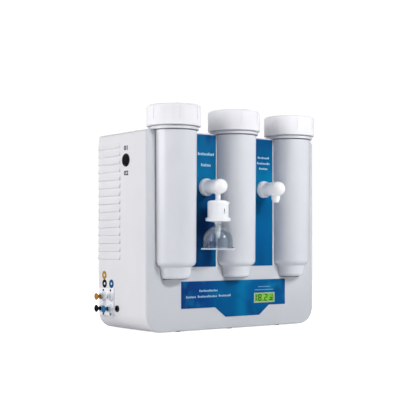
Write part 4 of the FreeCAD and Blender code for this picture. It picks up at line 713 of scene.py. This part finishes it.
def add_turned(
    shape: BMesh, centre: Vector, axis: Vector, profile: Sequence[Point], steps: int = 48, closed: bool = True
) -> list[BMVert]:
    """Adds a turned ring or head to a shape.

    Args:
        shape: The shape to add to.
        centre: Where the profile's zero is.
        axis: The direction that the profile's second number runs in.
        profile: Outline as (radius, distance along the axis); a zero radius closes to a point.
        steps: Sides round the axis.
        closed: Whether the outline's end joins its start.

    Returns:
        The last ring.
    """
    turn = axis.normalized().to_track_quat("Z", "Y").to_matrix()
    rings = []
    for radius, along in profile:
        angles = [TURN * step / steps for step in range(steps if radius > 0 else 1)]
        spots = (Vector((radius * math.cos(a), radius * math.sin(a), along)) for a in angles)
        rings.append([shape.verts.new(centre + turn @ spot) for spot in spots])
    for ring, after in zip(rings, rings[1:] + rings[:1] if closed else rings[1:]):
        stitch(shape, ring, after)
    return rings[-1]


def rounded_bar(width: float, height: float, centre: Point, steps: int = 6) -> list[Point]:
    """The outline of a bar with round ends.

    Args:
        width: Its width, in metres.
        height: Its height.
        centre: Its middle.
        steps: Steps in each end's half circle.

    Returns:
        The outline's corners.
    """
    radius = height / 2
    outline = []
    for side in (1, -1):
        for step in range(steps + 1):
            angle = math.pi * (step / steps - side / 2)
            outline.append((
                centre[0] + side * (width / 2 - radius) + radius * math.cos(angle),
                centre[1] + radius * math.sin(angle),
            ))
    return outline


def block(width: float, height: float, centre: Point, cut: float = 0.25) -> list[Point]:
    """The outline of a block with its corners cut.

    Args:
        width: Its width, in metres.
        height: Its height.
        centre: Its middle.
        cut: How much of the width each corner loses.

    Returns:
        The outline's corners.
    """
    half, tall, nick = width / 2, height / 2, width * cut
    corners = ((half - nick, tall), (half, tall - nick), (half, nick - tall), (half - nick, -tall),
               (nick - half, -tall), (-half, nick - tall), (-half, tall - nick), (nick - half, tall))
    return [(centre[0] + x, centre[1] + y) for x, y in corners]


def islands(name: str) -> list[tuple[Vector, Vector]]:
    """The boxes of a CAD node's separate solids.

    Args:
        name: The node.

    Returns:
        Each solid's lowest and highest corner, in order of place.
    """
    shape = bmesh.new()
    shape.from_mesh(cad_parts[name].data)
    bmesh.ops.remove_doubles(shape, verts=shape.verts, dist=0.001 * MM)
    left, boxes = set(shape.verts), []
    while left:
        reached, ahead = [], [left.pop()]
        while ahead:
            vertex = ahead.pop()
            reached.append(vertex.co.copy())
            for edge in vertex.link_edges:
                after = edge.other_vert(vertex)
                if after in left:
                    left.remove(after)
                    ahead.append(after)
        boxes.append(tuple(Vector(pick(corner) for corner in zip(*reached)) for pick in (min, max)))
    shape.free()
    return sorted(boxes, key=lambda box: tuple(round(value, 4) for value in box[0]))


def middle_of(name: str) -> tuple[Vector, Vector, Vector]:
    """A CAD node's lowest corner, highest corner and middle."""
    low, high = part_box(name)
    return low, high, (low + high) / 2


class Bay(Enum):
    """The three canisters, by where they stand."""

    LEFT = "left"
    MIDDLE = "middle"
    RIGHT = "right"


class Assembly:
    """A sub-assembly, with a finish for each of its CAD solids that is shown."""

    finishes: ClassVar[dict[str, Finish]] = {}

    def dress(self) -> None:
        """Gives the solids their finishes."""
        for name, finish in self.finishes.items():
            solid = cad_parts[name]
            solid.data.materials.clear()
            solid.data.materials.append(finish.material())
            LOG.info("finished %s", name)


@dataclass
class CrossHead:
    """A pan-headed screw with a cross recess, for each solid of a node of screws."""

    finish: Finish
    head_rise: float = 0.5
    shank_reach: float = 0.6
    recess_reach: float = 0.62
    recess_width: float = 0.2
    recess_depth: float = 0.7
    crown: tuple[Point, ...] = ((1.0, 0.45), (0.95, 0.68), (0.84, 0.88), (0.72, 1.0))
    steps: int = 24

    def fasten(self, node: str, out: Vector) -> None:
        """Replaces a node of plain screws.

        Args:
            node: The node.
            out: The direction that the heads look in.
        """
        shape = bmesh.new()
        for low, high in islands(node):
            self.screw(shape, low, high, out)
        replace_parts(piece(f"cross_{node}", shape, self.finish, "housing"), node)

    def screw(self, shape: BMesh, low: Vector, high: Vector, out: Vector) -> None:
        """Adds one screw that fills the box of the plain one.

        Args:
            shape: The shape to add to.
            low: The box's lowest corner.
            high: The box's highest corner.
            out: The direction that its head looks in.
        """
        size = high - low
        length = abs(size.dot(out))
        radius = (sum(size) - length) / 4
        height, shank = radius * self.head_rise, radius * self.shank_reach
        seat = (low + high) / 2 + out * (length / 2 - height)
        turn = out.to_track_quat("Z", "Y").to_matrix()
        profile = [(0.0, height - length), (shank, height - length), (shank, 0.0), (radius, 0.0)]
        profile += [(radius * reach, height * rise) for reach, rise in self.crown]
        top = add_turned(shape, seat, out, profile, self.steps, closed=False)
        arm, half = radius * self.recess_reach, radius * self.recess_width
        corners = [(arm, half), (half, half), (half, arm)]
        outline = [((x, y), (-y, x), (-x, -y), (y, -x))[quarter] for quarter in range(4) for x, y in corners]
        rims = [[shape.verts.new(seat + turn @ Vector((x, y, depth))) for x, y in outline]
                for depth in (height, height * (1 - self.recess_depth))]
        edges = []
        for ring in (top, rims[0]):
            for first, after in zip(ring, ring[1:] + ring[:1]):
                edges.append(shape.edges.get((first, after)) or shape.edges.new((first, after)))
        bmesh.ops.triangle_fill(shape, use_beauty=True, edges=edges)
        stitch(shape, *rims)
        shape.faces.new(rims[1])


@dataclass
class Housing(Assembly):
    """The shell, fascia, rear cover, their screws and the feet."""

    finishes: ClassVar[dict[str, Finish]] = {
        "main_shell": SHELL_WHITE, "front_fascia": FASCIA_WHITE, "rear_cover": COVER_WHITE,
        "rubber_feet": FOOT_BLACK,
    }

    def fasten(self) -> None:
        """Puts cross-recessed screws in the rear cover."""
        CrossHead(SCREW_STEEL).fasten("rear_cover_screws", Vector((0, 1, 0)))


@dataclass
class Canister(Assembly):
    """One screw-capped canister."""

    bay: Bay
    neck_radius: float = 46.5
    pitch: float = 4.0
    thread_depth: float = 0.4
    root_depth: float = 0.1
    crest_half: float = 0.25
    root_half: float = 0.9
    start_drop: float = 30.0
    end_drop: float = 3.0
    steps: int = 64
    fade_steps: int = 24

    @property
    def finishes(self) -> dict[str, Finish]:
        """The finish of each solid in this bay.

        Returns:
            Finishes by node.
        """
        kinds = {"canister_bowl": BOWL_WHITE, "canister_cap": CAP_WHITE, "canister_lid": LID_WHITE,
                 "lid_ring": SEAL_BLACK}
        return {f"{kind}_{self.bay.value}": finish for kind, finish in kinds.items()}

    def thread(self) -> None:
        """Winds the neck's thread, seen when the cap is lifted."""
        _, high, centre = middle_of(f"canister_bowl_{self.bay.value}")
        last = int((self.start_drop - self.end_drop) / self.pitch * self.steps)
        shape = bmesh.new()
        rows = []
        for step in range(last + 1):
            angle = TURN * step / self.steps
            crest = self.thread_depth * min(1.0, step / self.fade_steps, (last - step) / self.fade_steps)
            rows.append([])
            for out, up in ((-self.root_depth, -self.root_half), (crest, -self.crest_half),
                            (crest, self.crest_half), (-self.root_depth, self.root_half)):
                reach = (self.neck_radius + out) * MM
                rise = high.z + (self.pitch * step / self.steps - self.start_drop + up) * MM
                rows[-1].append(shape.verts.new(
                    (centre.x + reach * math.cos(angle), centre.y + reach * math.sin(angle), rise)
                ))
        for first, second in zip(rows, rows[1:]):
            stitch(shape, first, second)
        shape.faces.new(rows[0])
        shape.faces.new(rows[-1])
        piece(f"neck_thread_{self.bay.value}", shape, BOWL_WHITE, "housing")


@dataclass
class FrontPrint(Assembly):
    """The blue strips and label, and the rows of plain blocks and thin bars printed on them.

    Rows and bars are (across, height of the middle, width, height) in millimetres.
    """

    finishes: ClassVar[dict[str, Finish]] = {"strip_films": STRIP_INK_AND_SHADE, "label_film": LABEL_INK}
    proud: float = 0.06 * MM
    letter: float = 2.7 * MM
    space: float = 1.1 * MM
    rises: tuple[float, ...] = (1.4, 1.0, 1.0, 1.25, 1.0, 1.0, 1.0)
    rows: dict[str, tuple[tuple[float, ...], ...]] = field(default_factory=lambda: {
        "strip_bars_left": ((-77.0, 356.9, 42.0, 4.4), (-77.0, 334.6, 25.0, 4.4)),
        "strip_bars_right": ((77.0, 356.9, 32.0, 3.4), (77.0, 345.0, 36.0, 3.4), (77.0, 333.9, 24.0, 3.4)),
        "label_bars": ((-70.0, 79.0, 48.0, 3.4), (-114.5, 67.0, 25.0, 3.4), (-73.0, 67.4, 50.0, 3.4),
                       (-28.0, 67.8, 32.0, 3.4)),
    })
    bars: tuple[tuple[float, ...], ...] = ((79.0, 83.7, 34.0, 1.5), (79.0, 77.2, 52.0, 1.5))

    def print_bars(self) -> None:
        """Prints the rows of blocks, and the thin bars over the display."""
        for name, rows in self.rows.items():
            shape = bmesh.new()
            for row in rows:
                x, z, width, height = (value * MM for value in row)
                count = max(1, round(width / (self.letter + self.space)))
                step = width / count
                for index in range(count):
                    rise = height * self.rises[index % len(self.rises)]
                    centre = (x - width / 2 + step * (index + 0.5), z + (rise - height) / 2)
                    add_plate(shape, FRONT, block(step - self.space, rise, centre), 0.0, self.proud)
            piece(name, shape, MARK_WHITE, "housing")
        shape = bmesh.new()
        for x, z, width, height in self.bars:
            bar = rounded_bar(width * MM, height * MM, (x * MM, z * MM), 3)
            add_plate(shape, FRONT, bar, 0.0, self.proud)
        piece("display_bars", shape, MARK_FAINT, "housing")


@dataclass
class Display(Assembly):
    """The display and its digits; the side bars are (across, height, width) in millimetres."""

    height: float = 12.0 * MM
    width: float = 7.0 * MM
    first: float = 51.5 * MM
    pitch: float = 13.5 * MM
    gap: float = 3.0 * MM
    stroke: float = 2.3 * MM
    tip_share: float = 0.25
    slant: float = 0.06
    proud: float = 0.08 * MM
    dot_width: float = 1.2
    dot_shift: float = 0.55
    side_bars: tuple[Triple, ...] = ((99.2, -5.0, 8.6), (99.8, -1.3, 7.4))
    side_bar_height: float = 1.9 * MM
    glow_reach: float = 36.0 * MM
    glow_strength: float = 0.35
    strokes: ClassVar[dict[str, tuple[Point, Point]]] = {
        "a": ((0, 2), (1, 2)), "b": ((1, 1), (1, 2)), "c": ((1, 0), (1, 1)), "d": ((0, 0), (1, 0)),
        "e": ((0, 0), (0, 1)), "f": ((0, 1), (0, 2)), "g": ((0, 1), (1, 1)),
    }

    @property
    def finishes(self) -> dict[str, Finish]:
        """The finish of each solid, with the glow centred on the panel.

        Returns:
            Finishes by node.
        """
        centre = middle_of("display_module")[2]
        lit = Backlit("display_glow", (78, 146, 34), (112, 182, 50), (centre.x, centre.z),
                      self.glow_reach, self.glow_strength)
        return {"display_frame": RIM_PALE, "display_module": lit, "control_board": BOARD_GREEN,
                "board_parts": BOARD_BLACK, "board_standoffs": STAND_BRASS}

    def segment(self, start: Point, end: Point) -> list[Point]:
        """The outline of one segment, pointed at both ends.

        Args:
            start: Where its middle line starts.
            end: Where it ends.

        Returns:
            The outline's corners.
        """
        along = Vector((end[0] - start[0], end[1] - start[1])).normalized()
        side = Vector((-along.y, along.x)) * self.stroke / 2
        tip = along * self.stroke / 2
        first, last = Vector(start) + tip * self.tip_share, Vector(end) - tip * self.tip_share
        corners = [first, first + tip + side, last - tip + side, last, last - tip - side, first + tip - side]
        return [(corner.x, corner.y) for corner in corners]

    def digits(self) -> None:
        """Draws 18.2 in segments on the panel, with two plain bars to the right of it."""
        low, _, middle = middle_of("display_module")
        panel = Face(Vector((0, low.y, middle.z)), FRONT.right, FRONT.up, FRONT.out)
        outlines = []
        for column, names in enumerate(("bc", "abcdefg", "abged")):
            left = self.first + column * self.pitch + (self.gap if column == 2 else 0)
            for name in names:
                ends = []
                for across, along in self.strokes[name]:
                    y = (along - 1) * self.height / 2
                    ends.append((left + across * self.width + y * self.slant, y))
                outlines.append(self.segment(*ends))
        dot = (self.first + 2 * self.pitch - self.stroke * self.dot_shift, -self.height / 2)
        outlines.append(rounded_bar(self.stroke * self.dot_width, self.stroke, dot))
        for x, z, width in self.side_bars:
            outlines.append(rounded_bar(width * MM, self.side_bar_height, (x * MM, z * MM)))
        shape = bmesh.new()
        for outline in outlines:
            add_plate(shape, panel, outline, 0.0, self.proud)
        piece("display_digits", shape, SEGMENT_DARK, "housing")


@dataclass
class Spouts(Assembly):
    """The two spouts."""

    finishes: ClassVar[dict[str, Finish]] = dict.fromkeys(
        ("spout_rosettes", "spout_arm_left", "spout_arm_right"), SPOUT_WHITE
    )


@dataclass
class CapsuleFilter(Assembly):
    """The capsule filter, its vent, nozzle and bell; rim sizes are millimetres."""

    finishes: ClassVar[dict[str, Finish]] = {
        "capsule_upper": CAPSULE_WHITE, "capsule_base": CAPSULE_WHITE, "vent_plug": CAPSULE_WHITE,
        "filter_element": FILTER_WHITE, "outlet_nozzle": CLOUDY, "bell_guard": CLEAR,
    }
    body_radius: float = 21.25 * MM
    arrow_height: float = 242.0 * MM
    arrow_length: float = 11.0 * MM
    arrow_width: float = 5.0 * MM
    arrow_shape: tuple[Point, ...] = (
        (0.0, -0.5), (0.5, -0.12), (0.17, -0.12), (0.17, 0.5), (-0.17, 0.5), (-0.17, -0.12), (-0.5, -0.12),
    )
    proud: float = 0.06 * MM
    rim_shape: tuple[Point, ...] = (
        (-3.0, -0.1), (0.0, -0.1), (0.25, 0.3), (0.25, 1.9), (0.0, 2.3), (-3.0, 2.3)
    )
    rim_steps: int = 72

    def flow_arrow(self) -> None:
        """Prints a plain arrow down the front of the capsule, the way the water runs."""
        upper, base = middle_of("capsule_upper")[2], middle_of("capsule_base")[2]
        drum = Drum(Vector((upper.x, base.y, self.arrow_height)), self.body_radius)
        outline = [(x * self.arrow_width, y * self.arrow_length) for x, y in self.arrow_shape]
        shape = bmesh.new()
        add_plate(shape, drum, outline, -self.proud, self.proud)
        piece("flow_arrow", shape, MARK_BLACK, "capsule")

    def rim(self) -> None:
        """Lays the frosted bead round the bell's rim."""
        low, high, middle = middle_of("bell_guard")
        radius = (high.x - low.x) / 2
        profile = [(radius + out * MM, up * MM) for out, up in self.rim_shape]
        shape = bmesh.new()
        add_turned(shape, Vector((middle.x, middle.y, low.z)), FRONT.up, profile, self.rim_steps)
        piece("bell_rim", shape, RIM_WHITE, "bell")


@dataclass
class SidePanel(Assembly):
    """The service plate with its ports and plugs, the inlet, and the printed rings.

    The plugs' profile is (radius, distance from the tip), and the rings are (back, up), in millimetres.
    """

    finishes: ClassVar[dict[str, Finish]] = {
        "service_plate": PLATE_WHITE, "port_unions": PORT_GREY, "canister_ports": PORT_GREY,
        **{f"collet_{number}": COLLET_WHITE for number in range(1, 5)},
        "panel_nuts": NUT_WHITE, "power_inlet": INLET_BLACK,
    }
    ring_outer: float = 8.8 * MM
    ring_inner: float = 2.6 * MM
    ring_proud: float = 0.06 * MM
    ring_places: tuple[tuple[str, Finish, str, Point], ...] = (
        ("ring_yellow", MARK_YELLOW, "plug_orange", (156.0, 110.0)),
        ("ring_black", MARK_BLACK, "plug_black", (155.0, 92.6)),
        ("ring_blue", MARK_BLUE, "plug_blue", (128.5, 93.0)),
    )
    plug_profile: tuple[Point, ...] = (
        (0.0, 0.0), (2.8, 0.0), (3.17, 0.6), (3.17, 22.0), (4.5, 22.0), (4.6, 22.6), (4.1, 23.5),
        (3.1, 24.4), (2.8, 25.2), (3.0, 26.2), (3.6, 27.4), (4.7, 28.7), (6.0, 29.9), (7.1, 30.8),
        (7.5, 31.4), (7.5, 32.0), (7.1, 32.4), (5.4, 32.4), (5.0, 31.7), (0.0, 31.4),
    )

    def plugs(self) -> None:
        """Turns the waisted plugs that close three of the ports."""
        profile = [(radius * MM, along * MM) for radius, along in self.plug_profile]
        for name, finish in (("orange", PLUG_ORANGE), ("black", PLUG_BLACK), ("blue", PLUG_BLUE)):
            plain = f"plug_{name}"
            _, high, middle = middle_of(plain)
            shape = bmesh.new()
            add_turned(shape, Vector((high.x, middle.y, middle.z)), LEFT.out, profile)
            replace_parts(piece(f"waisted_{plain}", shape, finish, plain), plain)

    def fasten(self) -> None:
        """Puts cross-recessed screws in the service plate."""
        CrossHead(DARK_STEEL).fasten("service_plate_screws", LEFT.out)

    def rings(self) -> None:
        """Prints the coloured rings that mark the ports."""
        inner, outer, proud = self.ring_inner, self.ring_outer, self.ring_proud
        for name, finish, slot, (y, z) in self.ring_places:
            shape = bmesh.new()
            centre = LEFT.at(y * MM, z * MM)
            add_turned(shape, centre, LEFT.out, ((inner, 0.0), (outer, 0.0), (outer, proud), (inner, proud)))
            piece(name, shape, finish, "housing")


@dataclass
class RockerSwitch(Assembly):
    """The rocker switch and the plain numbers above and below it."""

    finishes: ClassVar[dict[str, Finish]] = {"switch_bezel": SWITCH_BLACK, "switch_rocker": SWITCH_BLACK}
    figure_size: float = 12.212 * MM
    figure_weight: float = 0.5 * MM
    figure_stretch: float = 1.3
    half_thickness: float = 0.03 * MM
    proud: float = 0.035 * MM
    back: float = 73.0 * MM
    heights: tuple[tuple[str, float], ...] = (("01", 367.0), ("02", 316.5))

    def numerals(self) -> None:
        """Prints 01 above the switch and 02 below it."""
        turn = Matrix((-LEFT.right, LEFT.up, LEFT.out)).transposed().to_4x4()
        wide = Matrix.Diagonal((self.figure_stretch, 1.0, 1.0, 1.0))
        for text, z in self.heights:
            letter = bpy.data.curves.new(f"figure_{text}", "FONT")
            letter.body = text
            letter.size = self.figure_size
            letter.align_x = letter.align_y = "CENTER"
            letter.extrude = self.half_thickness
            letter.offset = self.figure_weight
            letter.materials.append(MARK_BLACK.material())
            made = place_data(f"switch_figure_{text}", letter)
            made.matrix_world = Matrix.Translation(LEFT.at(self.back, z * MM, self.proud)) @ turn @ wide
            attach(made, "housing")


@dataclass
class Inside(Assembly):
    """What the housing hides: tray, pump, supply, valves, hoses and cartridges."""

    finishes: ClassVar[dict[str, Finish]] = {
        "base_tray": TRAY_STEEL, "pump_bracket": TRAY_STEEL, "pump_motor": MOTOR_PAINT,
        "pump_head": PUMP_BLACK, "pump_grommets": FOOT_BLACK, "power_supply": SUPPLY_ALUMINIUM,
        "inlet_valve": VALVE_WHITE, "outlet_valves": VALVE_WHITE, "conductivity_cell": CELL_GREY,
        "hoses": HOSE_WHITE, "cartridges": CARTRIDGE_WHITE,
    }


@dataclass
class Studio:
    """Pale floor, soft lights and the camera; lamps are (name, place, side, watts, colour)."""

    centre: Vector = field(default_factory=lambda: Vector((0.0, 0.06, 0.2)))
    floor_reach: float = 5.0
    wall_bend: float = 2.0
    wall_rise: float = 9.0
    bend_steps: int = 12
    sides: int = 96
    lift: float = 0.9
    air: tuple[float, ...] = (0.97, 0.98, 1.0, 1.0)
    air_strength: float = 0.09
    lamps: tuple[tuple[str, Triple, float, float, Triple], ...] = (
        ("left_wash", (-2.35, 0.35, 1.1), 1.7, 46.0, (1.0, 0.995, 0.985)),
        ("front_key", (0.6, -1.5, 1.1), 0.5, 24.5, (1.0, 1.0, 1.0)),
        ("left_glint", (-1.4, 0.34, 1.64), 0.34, 2.5, (1.0, 1.0, 1.0)),
        ("back_fill", (1.4, 1.9, 0.9), 1.2, 22.0, (0.98, 0.99, 1.0)),
    )
    heading: float = math.atan2(0.6088, 0.7934)
    eye: Triple = (-1.2977, -1.6186, 0.1821)
    sensor: float = 36.0
    focal_length: float = 85.5
    shift: float = 0.0805
    clip_end: float = 60.0

    def paper(self) -> Material:
        """The pale backdrop paper; what the camera sees of it is lifted to near white.

        Returns:
            The material.
        """
        material = bpy.data.materials.new("studio_paper")
        material.use_nodes = True
        tree = Tree(material.node_tree)
        seen = tree.node("LightPath").outputs["Is Camera Ray"]
        tree.finish(
            Base_Color=(236, 236, 238), Roughness=0.9,
            Specular_IOR_Level=0.0, Emission_Color=tree.blend(seen, (0, 0, 0), (255, 255, 255)),
            Emission_Strength=self.lift,
        )
        return material

    def backdrop(self) -> None:
        """Lays a round pale floor and raises a pale wall round it that takes no light from the unit."""
        paper = self.paper()
        reach, bend = self.floor_reach, self.wall_bend
        angles = (math.pi / 2 * step / self.bend_steps for step in range(self.bend_steps + 1))
        sweep = [(reach + bend * math.sin(angle), bend - bend * math.cos(angle)) for angle in angles]
        for name, path in (("studio_floor", [(0.0, 0.0), (reach, 0.0)]),
                           ("studio_wall", [*sweep, (reach + bend, self.wall_rise)])):
            shape = bmesh.new()
            add_turned(shape, Vector((0, 0, 0)), Vector((0, 0, 1)), path, self.sides, closed=False)
            made = place_mesh(name, shape, paper)
            if name == "studio_wall":
                made.visible_diffuse = made.visible_glossy = made.visible_transmission = False
                made.visible_shadow = False

    def lights(self) -> None:
        """Lights the unit with soft lamps that point at it, mostly from its left and above."""
        world = bpy.data.worlds.new("studio_air")
        world.use_nodes = True
        sky = world.node_tree.nodes["Background"]
        sky.inputs["Color"].default_value = self.air
        sky.inputs["Strength"].default_value = self.air_strength
        bpy.context.scene.world = world
        for name, place, side, power, colour in self.lamps:
            light = bpy.data.lights.new(name, "AREA")
            light.shape = "RECTANGLE"
            light.size = light.size_y = side
            light.energy = power
            light.color = colour
            made = place_data(name, light)
            made.location = place
            made.rotation_mode = "QUATERNION"
            made.rotation_quaternion = (self.centre - Vector(place)).to_track_quat("-Z", "Y")

    def camera(self) -> None:
        """Sets the camera where the photograph was taken from."""
        lens = bpy.data.cameras.new("studio_camera")
        lens.sensor_width = self.sensor
        lens.lens = self.focal_length
        lens.shift_y = self.shift
        lens.clip_end = self.clip_end
        made = place_data("studio_camera", lens)
        made.location = self.eye
        made.rotation_euler = (math.pi / 2, 0.0, -self.heading)
        bpy.context.scene.camera = made
        bpy.context.scene.view_settings.view_transform = "Standard"


def main() -> None:
    """Builds every sub-assembly in order and logs each step."""
    logging.basicConfig(level=logging.INFO, format="%(name)s %(message)s")
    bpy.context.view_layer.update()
    studio, housing, front, display = Studio(), Housing(), FrontPrint(), Display()
    capsule, side, switch = CapsuleFilter(), SidePanel(), RockerSwitch()
    canisters = [Canister(bay) for bay in Bay]
    steps: list[Callable[[], None]] = [
        studio.camera, studio.backdrop, studio.lights, housing.dress, housing.fasten,
        *(step for canister in canisters for step in (canister.dress, canister.thread)),
        front.dress, front.print_bars, display.dress, display.digits, Spouts().dress, capsule.dress,
        capsule.flow_arrow, capsule.rim, side.dress, side.plugs, side.fasten, side.rings, switch.dress,
        switch.numerals, Inside().dress,
    ]
    for step in steps:
        step()
        LOG.info("done: %s, %s", type(step.__self__).__name__, step.__name__)


if __name__ == "__main__":
    main()
